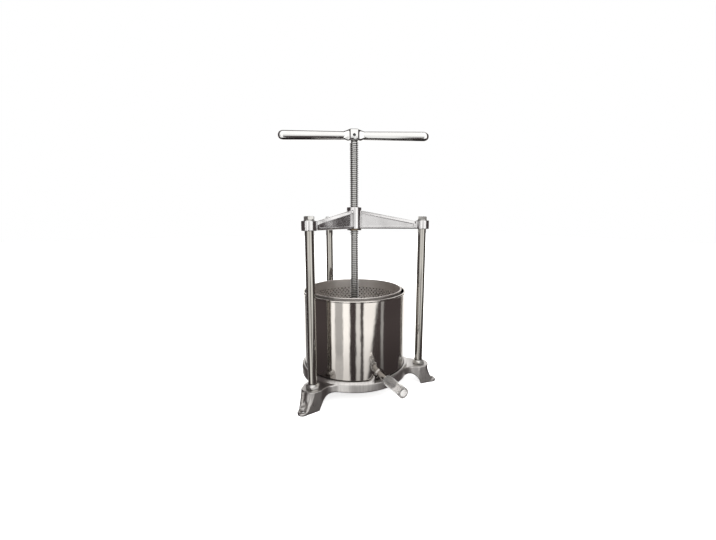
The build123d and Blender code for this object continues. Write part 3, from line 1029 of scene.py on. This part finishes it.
@dataclass
class Screw(Group):
    """Threaded spindle with its collar, journal and tenon."""

    pitch: float = 4.0 * MM
    turns: int = 83
    crest_r: float = 9.0 * MM
    depth: float = 2.25 * MM
    crest_w: float = 1.3 * MM
    root_w: float = 2.6 * MM
    sink: float = 0.4 * MM
    collar_r: float = 11.0 * MM
    collar_h: float = 6.0 * MM
    journal_r: float = 6.5 * MM
    journal_h: float = 26.4 * MM
    edge_r: float = 0.8 * MM
    steps_per_turn: int = 40

    def build(self) -> None:
        """Build the spindle."""
        low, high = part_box("spindle")
        collar_z = low.z + self.journal_h
        thread_z = collar_z + self.collar_h
        tenon_z = thread_z + self.turns * self.pitch
        thread = self.thread(thread_z, self.finishes.of(Coat.SCREW))
        root_r = self.crest_r - self.depth
        shape = turned(
            [
                (0, low.z), (self.journal_r, low.z), (self.journal_r, collar_z),
                (self.collar_r, collar_z, self.edge_r), (self.collar_r, thread_z, self.edge_r),
                (root_r, thread_z), (root_r, tenon_z),
                (self.journal_r, tenon_z), (self.journal_r, high.z), (0, high.z),
            ],
            loop=False,
        )
        bmesh.ops.recalc_face_normals(shape, faces=shape.faces)
        shape.from_mesh(thread.data)
        bpy.data.objects.remove(thread)
        self.place("threaded_spindle", shape, Coat.SCREW, SCREW_BODY, "spindle")

    def thread(self, start_z: float, material: Material) -> Piece:
        """Wind the thread's ridge round the screw.

        Args:
            start_z: level where the thread starts.
            material: its finish.

        Returns:
            The ridge as a closed mesh.
        """
        recipe = Recipe(
            "trapezoidal_thread",
            {
                "Turns": self.turns - 1.0, "Pitch": self.pitch, "Steps": self.steps_per_turn,
                "Crest Radius": self.crest_r, "Depth": self.depth + self.sink,
                "Crest Width": self.crest_w, "Root Width": self.root_w,
                "Start": start_z + self.pitch / 2, "Finish": material,
            },
        )
        half_depth = recipe.maths("DIVIDE", recipe["Depth"], 2.0)
        middle_r = recipe.maths("SUBTRACT", recipe["Crest Radius"], half_depth)
        path = recipe.add(
            "GeometryNodeCurveSpiral",
            {
                "Resolution": recipe["Steps"], "Rotations": recipe["Turns"],
                "Start Radius": middle_r, "End Radius": middle_r,
                "Height": recipe.maths("MULTIPLY", recipe["Turns"], recipe["Pitch"]), "Reverse": True,
            },
        )
        upright = recipe.add("GeometryNodeSetCurveNormal", {"Curve": path.outputs[0]}, mode="Z_UP")
        ridge = recipe.add(
            "GeometryNodeCurvePrimitiveQuadrilateral",
            {
                "Height": recipe["Depth"], "Bottom Width": recipe["Root Width"],
                "Top Width": recipe["Crest Width"], "Offset": 0.0,
            },
            mode="TRAPEZOID",
        )
        outwards = recipe.add(
            "GeometryNodeTransform", {"Geometry": ridge.outputs[0], "Rotation": (0, 0, -TURN / 4)}
        )
        swept = recipe.add(
            "GeometryNodeCurveToMesh",
            {"Curve": upright.outputs[0], "Profile Curve": outwards.outputs[0], "Fill Caps": True},
        )
        return recipe.run("thread_ridge", recipe.shifted(swept.outputs[0], recipe.joined(z=recipe["Start"])))


@dataclass
class Handle(Group):
    """Tee handle: a polished bar of oval section that swells into a flat-sided hub, and its roll pin."""

    angle_deg: float = -23.6
    half_length: float = 154.0 * MM
    root_half_h: float = 8.5 * MM
    end_half_h: float = 9.7 * MM
    bar_half_t: float = 7.4 * MM
    end_round: float = 11.0 * MM
    end_fullness: float = 2.1
    fullness: float = 2.35
    hub_fullness: float = 5.0
    hub_up: float = 12.5 * MM
    hub_half_t: float = 13.0 * MM
    front_half_w: float = 7.2 * MM
    front_edge: float = 9.4 * MM
    swell_half_t: float = 10.8 * MM
    swell_from: float = 21.6 * MM
    swell_to: float = 8.5 * MM
    foot_from: float = 20.0 * MM
    foot_to: float = 13.0 * MM
    bore_r: float = 6.55 * MM
    bore_depth: float = 19.0 * MM
    bore_lead: float = 1.0 * MM
    pin_wall: float = 0.7 * MM
    pin_recess: float = 2.0 * MM

    def build(self) -> None:
        """Build the handle and its pin."""
        low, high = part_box("handle")
        pin_low, pin_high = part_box("handle_pin")
        pin_centre = (pin_low + pin_high) / 2
        pin_r = (pin_high.z - pin_low.z) / 2
        bar = self.bar(high.z - self.hub_up, low.z)
        handle = new_piece("tee_handle", bar, self.finishes.of(Coat.HANDLE))
        bore = plug(self.bore_r, low.z - self.bore_lead, low.z + self.bore_depth)
        pin_hole = plug(pin_r, -2 * self.hub_half_t, 2 * self.hub_half_t)
        drilled(handle, bore, self.crosswise(pin_hole, pin_centre))
        fit(handle, SCREW_BODY, Coat.HANDLE, "handle")
        span = math.hypot(pin_high.x - pin_low.x, pin_high.y - pin_low.y)
        half = span / 2 - pin_r - self.pin_recess
        pin = sleeve(pin_r - self.pin_wall, pin_r, -half, half, self.pin_wall / 3)
        self.place("roll_pin", self.crosswise(pin, pin_centre), Coat.PIN, SCREW_BODY, "handle_pin")

    def section(self, along: float, hub_down: float) -> tuple[float, float, float, float]:
        """Give the bar's section at a distance from the screw.

        Args:
            along: that distance.
            hub_down: drop of the hub's foot below the bar's middle.

        Returns:
            Half the thickness, the rise and the drop from the middle, and the fullness of the corners.
        """
        swell = share(along, self.swell_from, self.swell_to)
        front = ease(along, self.front_edge, self.front_half_w)
        foot = ease(along, self.foot_from, self.foot_to)
        half_h = self.root_half_h
        half_h += (self.end_half_h - self.root_half_h) * share(along, self.swell_from, self.half_length)
        half_t = self.bar_half_t + (self.swell_half_t - self.bar_half_t) * swell * swell
        half_t += (self.hub_half_t - self.swell_half_t) * front
        rise = half_h + (self.hub_up - self.root_half_h) * swell
        drop = half_h + (hub_down - self.root_half_h) * foot
        past = share(along, self.half_length - self.end_round, self.half_length)
        dome = max(1 - past ** self.end_fullness, 0.0) ** (1 / self.end_fullness)
        fullness = self.fullness + (self.hub_fullness - self.fullness) * swell
        return half_t * dome, rise * dome, drop * dome, fullness

    def bar(self, level: float, foot_z: float) -> Shape:
        """Loft the bar from end to end through oval sections, with the hub as its thickest part.

        Args:
            level: height of the bar's middle.
            foot_z: height of the hub's foot.

        Returns:
            The closed bar, at the handle's angle.
        """
        dome_from = self.half_length - self.end_round
        knots = (self.front_half_w, self.front_edge, self.swell_from, dome_from)
        out = [0.0]
        for start, end in zip(knots, knots[1:]):
            out += [start + (end - start) * step / LOFT_STEPS for step in range(LOFT_STEPS)]
        for step in range(LOFT_STEPS + 1):
            out.append(dome_from + self.end_round * math.sin(TURN / 4 * step / LOFT_STEPS))
        shape = bmesh.new()
        rings = []
        for along in [-station for station in reversed(out[1:])] + out:
            half_t, rise, drop, fullness = self.section(abs(along), level - foot_z)
            if rise < JOIN_GAP:
                rings.append([shape.verts.new((along, 0, 0))] * SMALL_SEGMENTS)
                continue
            ring = []
            for step in range(SMALL_SEGMENTS):
                across, up = polar(1.0, TURN * step / SMALL_SEGMENTS)
                side = math.copysign(abs(across) ** (2 / fullness), across) * half_t
                height = math.copysign(abs(up) ** (2 / fullness), up) * (rise if up > 0 else drop)
                ring.append(shape.verts.new((along, side, height)))
            rings.append(ring)
        skin(shape, rings)
        turn = Matrix.Rotation(math.radians(self.angle_deg), 4, "Z")
        return laid(shape, Matrix.Translation((0, 0, level)) @ turn)

    def crosswise(self, shape: Shape, centre: Vector) -> Shape:
        """Lay a shape along the pin.

        Args:
            shape: a shape along Z, moved in place.
            centre: the pin's middle.

        Returns:
            The shape, across the bar.
        """
        across = Matrix.Rotation(math.radians(self.angle_deg) + TURN / 4, 4, "Z")
        return laid(shape, Matrix.Translation(centre) @ across @ Matrix.Rotation(TURN / 4, 4, "Y"))


@dataclass
class Pot(Group):
    """Outer pot of polished sheet, with its outlet nozzle and the drain tube."""

    wall: float = 1.4 * MM
    corner_r: float = 4.0 * MM
    bead_r: float = 2.2 * MM
    outlet_z: float = 58.4 * MM
    nozzle_r: float = 7.0 * MM
    nozzle_bore_r: float = 5.5 * MM
    drill_share: float = 1.2
    weld_r: float = 10.0 * MM
    weld_t: float = 3.2 * MM
    weld_depth_share: float = 0.8
    tube_bore_r: float = 6.5 * MM
    tube_grip_r: float = 7.08 * MM
    tube_step: float = 1.0 * MM
    edge_r: float = 0.6 * MM

    def build(self) -> None:
        """Build the pot, the nozzle and the tube."""
        low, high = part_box("outer_pot")
        wall_r = high.x - self.bead_r + self.wall / 2
        pot = new_piece("pot_shell", self.shell(wall_r, low.z, high.z), self.finishes.of(Coat.POT))
        drilled(pot, self.towards_outlet(plug(self.nozzle_r, 0, wall_r * self.drill_share)))
        fit(pot, FRAME_BODY, Coat.POT, "outer_pot")
        self.outlet(wall_r)

    def shell(self, wall_r: float, bottom: float, top: float) -> Shape:
        """Shape the spun wall with its round bottom corner and rolled bead.

        Args:
            wall_r: outer radius of the wall.
            bottom: level of the underside.
            top: level of the bead's top.

        Returns:
            The shell, with a row of points above and below the outlet.
        """
        inner_r = wall_r - self.wall
        meet = math.asin(self.wall / 2 / self.bead_r)
        bead = arc(
            wall_r - self.wall / 2, top - self.bead_r, self.bead_r, -math.pi / 2 + meet, TURN - 2 * meet
        )
        over = self.outlet_z + self.weld_r
        under = self.outlet_z - self.weld_r
        corners = [
            (0, bottom), (wall_r, bottom, self.corner_r), (wall_r, under), (wall_r, over), *bead,
            (inner_r, over), (inner_r, under),
            (inner_r, bottom + self.wall, self.corner_r - self.wall), (0, bottom + self.wall),
        ]
        return turned(corners, loop=False, segments=ROUND_SEGMENTS)

    def towards_outlet(self, shape: Shape) -> Shape:
        """Lay a turned shape along the outlet, so that its Z axis points to -Y."""
        return laid(shape, Matrix.Translation((0, 0, self.outlet_z)) @ Matrix.Rotation(math.pi / 2, 4, "X"))

    def outlet(self, wall_r: float) -> None:
        """Build the nozzle with its weld, and the tube on it.

        Args:
            wall_r: outer radius of the pot's wall.
        """
        low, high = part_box("outlet_nozzle")
        end, start = -low.y, -high.y
        weld_in = wall_r - self.wall * self.weld_depth_share
        weld_out = wall_r + self.weld_t
        nozzle = turned(
            [
                (self.nozzle_bore_r, start), (self.nozzle_r, start), (self.nozzle_r, weld_in),
                (self.weld_r, weld_in), (self.weld_r, weld_out - self.weld_t / 2, self.weld_t / 3),
                (self.nozzle_r, weld_out, self.weld_t / 2),
                (self.nozzle_r, end, self.edge_r), (self.nozzle_bore_r, end, self.edge_r),
            ],
            loop=True,
        )
        self.place("nozzle_tube", self.towards_outlet(nozzle), Coat.POT, FRAME_BODY, "outlet_nozzle")
        tube_low, tube_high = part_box("drain_tube")
        tube_r = (tube_high.x - tube_low.x) / 2
        tube_end, tube_start = -tube_low.y, -tube_high.y
        stop = end + self.tube_step
        tube = turned(
            [
                (self.tube_grip_r, tube_start, self.edge_r), (tube_r, tube_start, self.edge_r),
                (tube_r, tube_end, self.edge_r), (self.tube_bore_r, tube_end, self.edge_r),
                (self.tube_bore_r, stop + self.tube_step), (self.tube_grip_r, stop),
            ],
            loop=True,
        )
        self.place("vinyl_tube", self.towards_outlet(tube), Coat.TUBE, TUBE_BODY, "drain_tube")


@dataclass
class Cage(Group):
    """Perforated cage: rolled sheet with staggered holes and a wired rim."""

    wall: float = 1.5 * MM
    bead_r: float = 1.6 * MM
    bead_shift: float = 0.5
    columns: int = 70
    rows: int = 27
    row_pitch: float = 4.9 * MM
    hole_r: float = 1.9 * MM
    first_drop: float = 18.0 * MM
    band_steps: int = 2
    seam_gap: float = 0.05 * MM

    def build(self) -> None:
        """Build the wall and its rim, and dress the floor."""
        sheet = self.finishes.of(Coat.CAGE)
        low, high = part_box("cage_wall")
        wall_r = high.x - self.bead_r * (1 + self.bead_shift) + self.wall / 2
        bead_z = high.z - self.bead_r
        unit = self.cell(TURN * wall_r / self.columns, sheet)
        wall = self.perforated(unit, wall_r, low.z, bead_z, sheet)
        bpy.data.objects.remove(unit)
        rim = arc(wall_r - self.wall / 2 + self.bead_r * self.bead_shift, bead_z, self.bead_r)
        shape = turned(rim[:-1], loop=True, segments=ROUND_SEGMENTS)
        bmesh.ops.recalc_face_normals(shape, faces=shape.faces)
        shape.from_mesh(wall.data)
        bpy.data.objects.remove(wall)
        self.place("perforated_cage", shape, Coat.CAGE, FRAME_BODY, "cage_wall")
        self.finishes.dress("cage_floor", Coat.CAGE)

    def cell(self, width: float, material: Material) -> Piece:
        """Shape one flat cell of the sheet, with its hole.

        Args:
            width: spacing of the holes in a row.
            material: the sheet's finish.

        Returns:
            An object of eight faces round the hole.
        """
        shape = bmesh.new()
        half_w, half_h = width / 2, self.row_pitch / 2
        border = [(1, 0), (1, 1), (0, 1), (-1, 1), (-1, 0), (-1, -1), (0, -1), (1, -1)]
        outer = [shape.verts.new((half_w * x, half_h * y, 0)) for x, y in border]
        angles = [TURN * step / len(border) for step in range(len(border))]
        inner = [shape.verts.new((*polar(self.hole_r, angle), 0)) for angle in angles]
        skin(shape, (outer, inner))
        return new_piece("sheet_cell", shape, material)

    def perforated(self, unit: Piece, wall_r: float, bottom: float, top: float, material: Material) -> Piece:
        """Lay the cells in rows between plain bands and roll the sheet up.

        Args:
            unit: one cell.
            wall_r: outer radius of the wall.
            bottom: level of the wall's foot.
            top: level of the wall's upper edge.
            material: the sheet's finish.

        Returns:
            The wall as a closed mesh.
        """
        field_top = top - self.first_drop
        field_bottom = field_top - self.rows * self.row_pitch
        recipe = Recipe(
            "rolled_perforated_sheet",
            {
                "Cell": unit, "Columns": self.columns, "Rows": self.rows, "Length": TURN * wall_r,
                "Row Pitch": self.row_pitch, "Field Bottom": field_bottom, "Top Band": top - field_top,
                "Bottom Band": field_bottom - bottom, "Radius": wall_r, "Finish": material,
            },
        )
        field_height = recipe.maths("MULTIPLY", recipe["Rows"], recipe["Row Pitch"])
        upper_edge = recipe.maths("ADD", recipe["Field Bottom"], field_height)
        strips = (
            self.cells(recipe),
            self.band(recipe, recipe["Top Band"], upper_edge, 0.5),
            self.band(recipe, recipe["Bottom Band"], recipe["Field Bottom"], -0.5),
        )
        sheet = recipe.add("GeometryNodeJoinGeometry")
        for strip in strips:
            recipe.tree.links.new(strip, sheet.inputs[0])
        spot = recipe.add("GeometryNodeInputPosition").outputs[0]
        here = recipe.add("ShaderNodeSeparateXYZ", {0: spot})
        angle = recipe.maths("DIVIDE", here.outputs["X"], recipe["Radius"])
        rolled = recipe.moved(
            sheet.outputs[0], recipe.on_circle(angle, recipe["Radius"], here.outputs["Y"])
        )
        closed = recipe.add("GeometryNodeMergeByDistance", {"Geometry": rolled, "Distance": self.seam_gap})
        wall = recipe.run("cage_sheet", closed.outputs[0])
        gauge = wall.modifiers.new("gauge", "SOLIDIFY")
        gauge.thickness = self.wall
        gauge.offset = -1.0
        return settle(wall)

    def cells(self, recipe: Recipe) -> Socket:
        """Lay the cells on the flat sheet in staggered rows.

        Args:
            recipe: the sheet's node tree.

        Returns:
            The cells.
        """
        order = recipe.add("GeometryNodeInputIndex").outputs[0]
        row = recipe.maths("FLOOR", recipe.maths("DIVIDE", order, recipe["Columns"]))
        place = recipe.maths("MODULO", order, recipe["Columns"])
        stagger = recipe.maths("MULTIPLY", recipe.maths("MODULO", row, 2.0), 0.5)
        spacing = recipe.maths("DIVIDE", recipe["Length"], recipe["Columns"])
        across = recipe.maths("MULTIPLY", recipe.maths("ADD", place, stagger), spacing)
        rise = recipe.maths("MULTIPLY", recipe.maths("ADD", row, 0.5), recipe["Row Pitch"])
        spot = recipe.joined(across, recipe.maths("ADD", rise, recipe["Field Bottom"]))
        count = recipe.maths("MULTIPLY", recipe["Columns"], recipe["Rows"])
        copies = recipe.copies(recipe["Cell"], count, spot)
        return recipe.add("GeometryNodeRealizeInstances", {"Geometry": copies}).outputs[0]

    def band(self, recipe: Recipe, height: Socket, edge: Socket, side: float) -> Socket:
        """Lay a plain band beside the rows of holes.

        Args:
            recipe: the sheet's node tree.
            height: height of the band.
            edge: level where it meets the rows.
            side: how far its middle is from there, as a share of its height.

        Returns:
            The band.
        """
        across = recipe.maths("ADD", recipe.maths("MULTIPLY", recipe["Columns"], 2.0), 1.0)
        strip = recipe.add(
            "GeometryNodeMeshGrid",
            {
                "Size X": recipe["Length"], "Size Y": height,
                "Vertices X": across, "Vertices Y": self.band_steps + 1,
            },
        )
        middle = recipe.maths("ADD", edge, recipe.maths("MULTIPLY", height, side))
        return recipe.shifted(strip.outputs[0], recipe.joined(y=middle))


@dataclass(frozen=True)
class SoftBox:
    """A lamp round the press: where it stands, how far it reaches and how bright it is."""

    bearing_deg: float
    width_deg: float
    bottom_deg: float
    top_deg: float
    level: float
    edge_deg: float = 4.0
    fade_deg: float = 2.5
    foot_fade_deg: float = 7.0
    lean: float = 0.0
    lean_from_deg: float = -11.0

    def glow(self, graph: Graph, level_ray: Socket, rise: Socket) -> Socket:
        """Add the lamp's brightness to the world's nodes.

        Args:
            graph: the world's graph.
            level_ray: the direction, laid on the horizon.
            rise: height above the horizon in radians.

        Returns:
            The lamp's brightness in that direction.
        """
        half = math.radians(self.width_deg / 2)
        edge = math.radians(self.edge_deg)
        bottom = math.radians(self.bottom_deg)
        fade = math.radians(self.foot_fade_deg if self.bottom_deg < -self.foot_fade_deg else self.fade_deg)
        ahead = (*polar(1.0, math.radians(self.bearing_deg)), 0)
        width = graph.smooth(
            graph.measure("DOT_PRODUCT", level_ray, ahead),
            math.cos(half + edge / 2), math.cos(max(half - edge / 2, 0.0)), last=self.level,
        )
        if self.lean:
            width = self.leaning(graph, level_ray, rise, width)
        above = graph.smooth(rise, bottom - fade, bottom + fade)
        below = graph.smooth(
            rise, math.radians(self.top_deg - self.edge_deg), math.radians(self.top_deg + self.edge_deg),
            1.0, 0.0,
        )
        return graph.maths("MULTIPLY", width, graph.maths("MULTIPLY", above, below))

    def leaning(self, graph: Graph, level_ray: Socket, rise: Socket, width: Socket) -> Socket:
        """Cut the lamp off along a leaning edge, on the side of greater bearings.

        Args:
            graph: the world's graph.
            level_ray: the direction, laid on the horizon.
            rise: height above the horizon in radians.
            width: the lamp's brightness so far.

        Returns:
            The brightness that is left.
        """
        above = graph.maths("ADD", rise, -math.radians(self.lean_from_deg))
        upright = graph.add(
            "ShaderNodeVectorRotate",
            {"Vector": level_ray, "Angle": graph.maths("MULTIPLY", above, -self.lean)},
            rotation_type="Z_AXIS",
        )
        edge = math.radians(self.bearing_deg + self.width_deg / 2)
        inwards = (math.sin(edge), -math.cos(edge), 0)
        soft = math.sin(math.radians(self.edge_deg))
        cut = graph.smooth(graph.measure("DOT_PRODUCT", upright.outputs[0], inwards), -soft, soft)
        return graph.maths("MULTIPLY", width, cut)


@dataclass
class Studio:
    """Pale floor, white surroundings and the lamps that the polished metal mirrors."""

    room_colour: str = "#4f4848"
    lamp_colour: str = "#fffefc"
    backdrop: SoftBox = SoftBox(58.0, 80.0, -45.0, 40.0, 1.25, 5.0)
    left_fill: SoftBox = SoftBox(212.0, 42.0, -40.0, 60.0, 0.62)
    left_strip: SoftBox = SoftBox(196.5, 10.0, -38.0, 60.0, 1.45)
    left_foot: SoftBox = SoftBox(209.0, 24.0, -42.0, -22.5, 1.0, 3.0)
    left_key: SoftBox = SoftBox(226.0, 15.0, -42.0, 60.0, 1.55)
    middle_strip: SoftBox = SoftBox(252.5, 9.0, -39.0, 60.0, 1.05)
    right_key: SoftBox = SoftBox(282.0, 36.0, -39.0, 60.0, 1.4, lean=1.7)
    right_strip: SoftBox = SoftBox(307.0, 7.0, -26.0, -9.0, 0.45, 3.0)
    rear_right: SoftBox = SoftBox(14.0, 36.0, 33.0, 62.0, 1.3, 6.0)
    high_right: SoftBox = SoftBox(338.0, 64.0, 66.0, 86.0, 1.3, 6.0)
    front_low: SoftBox = SoftBox(242.0, 102.0, -6.0, 12.0, 0.9)
    front_high: SoftBox = SoftBox(242.0, 102.0, 9.0, 100.0, 1.25)
    dark_below_deg: float = -42.0
    dark_fade_deg: float = 6.0
    dark_share: float = 0.25
    floor_half: float = 6.0
    floor_colour: str = "#f4f4f4"
    floor_roughness: float = 0.9
    floor_glow_colour: str = "#ffffff"
    floor_glow: float = 0.7
    fill_strength: float = 3.0
    fill_spread_deg: float = 120.0

    def build(self) -> None:
        """Build the surroundings, the floor and the fill light."""
        self.surroundings()
        self.floor()
        self.fill()

    def surroundings(self) -> None:
        """Make the world: white to the eye, and lamps in a dim room to the metal."""
        world = bpy.data.worlds.new("studio")
        world.use_nodes = True
        bpy.context.scene.world = world
        graph = Graph(world.node_tree)
        graph.tree.nodes.clear()
        direction = graph.add("ShaderNodeTexCoord").outputs["Generated"]
        level_ray = graph.vector("NORMALIZE", graph.vector("MULTIPLY", direction, FLAT))
        parts = graph.add("ShaderNodeSeparateXYZ", {0: direction})
        rise = graph.maths("ARCSINE", parts.outputs["Z"])
        light = graph.add("ShaderNodeValue").outputs[0]
        for lamp in vars(self).values():
            if isinstance(lamp, SoftBox):
                light = graph.maths("MAXIMUM", light, lamp.glow(graph, level_ray, rise))
        lit = graph.tinted(self.lamp_colour, light)
        dusk = graph.smooth(
            rise, math.radians(self.dark_below_deg - self.dark_fade_deg),
            math.radians(self.dark_below_deg + self.dark_fade_deg), first=self.dark_share,
        )
        seen_by_metal = graph.vector("MAXIMUM", lit, graph.tinted(self.room_colour, dusk))
        eye = graph.add("ShaderNodeLightPath").outputs["Is Camera Ray"]
        colour = graph.mixed(eye, seen_by_metal, (1.0, 1.0, 1.0, 1.0))
        background = graph.add("ShaderNodeBackground", {"Color": colour})
        graph.add("ShaderNodeOutputWorld", {"Surface": background.outputs[0]})

    def floor(self) -> None:
        """Lay the pale floor, which polished metal doesn't mirror."""
        shape = bmesh.new()
        bmesh.ops.create_grid(shape, x_segments=1, y_segments=1, size=self.floor_half)
        material, graph, shader = new_material("white_paper_matt")
        graph.feed(
            shader,
            {
                "Base Color": linear(self.floor_colour), "Roughness": self.floor_roughness,
                "Specular IOR Level": 0.0, "Emission Color": linear(self.floor_glow_colour),
                "Emission Strength": self.floor_glow,
            },
        )
        ground = new_piece("studio_floor", shape, material)
        ground.visible_glossy = False

    def fill(self) -> None:
        """Light the floor from the whole ceiling, which the metal doesn't mirror."""
        data = bpy.data.lights.new("overhead_fill", "SUN")
        data.energy = self.fill_strength
        data.angle = math.radians(self.fill_spread_deg)
        put("overhead_fill", data).visible_glossy = False


@dataclass
class Viewpoint:
    """Camera where the press was seen from."""

    distance: float = 714.7 * MM
    height: float = 359.6 * MM
    bearing_deg: float = -25.97
    yaw_deg: float = 0.63
    pitch_deg: float = 8.85
    focal_px: float = 333.73
    image_width_px: float = 716.0
    sensor_mm: float = 36.0
    near: float = 10.0 * MM

    def build(self) -> None:
        """Place the camera and use it."""
        data = bpy.data.cameras.new("viewpoint")
        data.sensor_fit = "HORIZONTAL"
        data.sensor_width = self.sensor_mm
        data.lens = self.focal_px * self.sensor_mm / self.image_width_px
        data.clip_start = self.near
        side = math.radians(self.bearing_deg)
        place = Vector((self.distance * math.sin(side), -self.distance * math.cos(side), self.height))
        aim = math.atan2(-place.y, -place.x) - math.radians(self.yaw_deg)
        dip = math.radians(self.pitch_deg)
        ahead = Vector((*polar(math.cos(dip), aim), -math.sin(dip)))
        camera = put("viewpoint", data)
        camera.location = place
        camera.rotation_euler = ahead.to_track_quat("-Z", "Y").to_euler()
        bpy.context.scene.camera = camera


def main() -> None:
    """Build the studio, the camera and every piece of the press."""
    logging.basicConfig(level=logging.INFO, format="%(name)s: %(message)s")
    bpy.context.scene.view_settings.view_transform = "Standard"
    finishes = Finishes()
    finishes.build()
    Viewpoint().build()
    Studio().build()
    for group in (Castings, Columns, Screw, Handle, Pot, Cage):
        group(finishes).build()


if __name__ == "__main__":
    main()
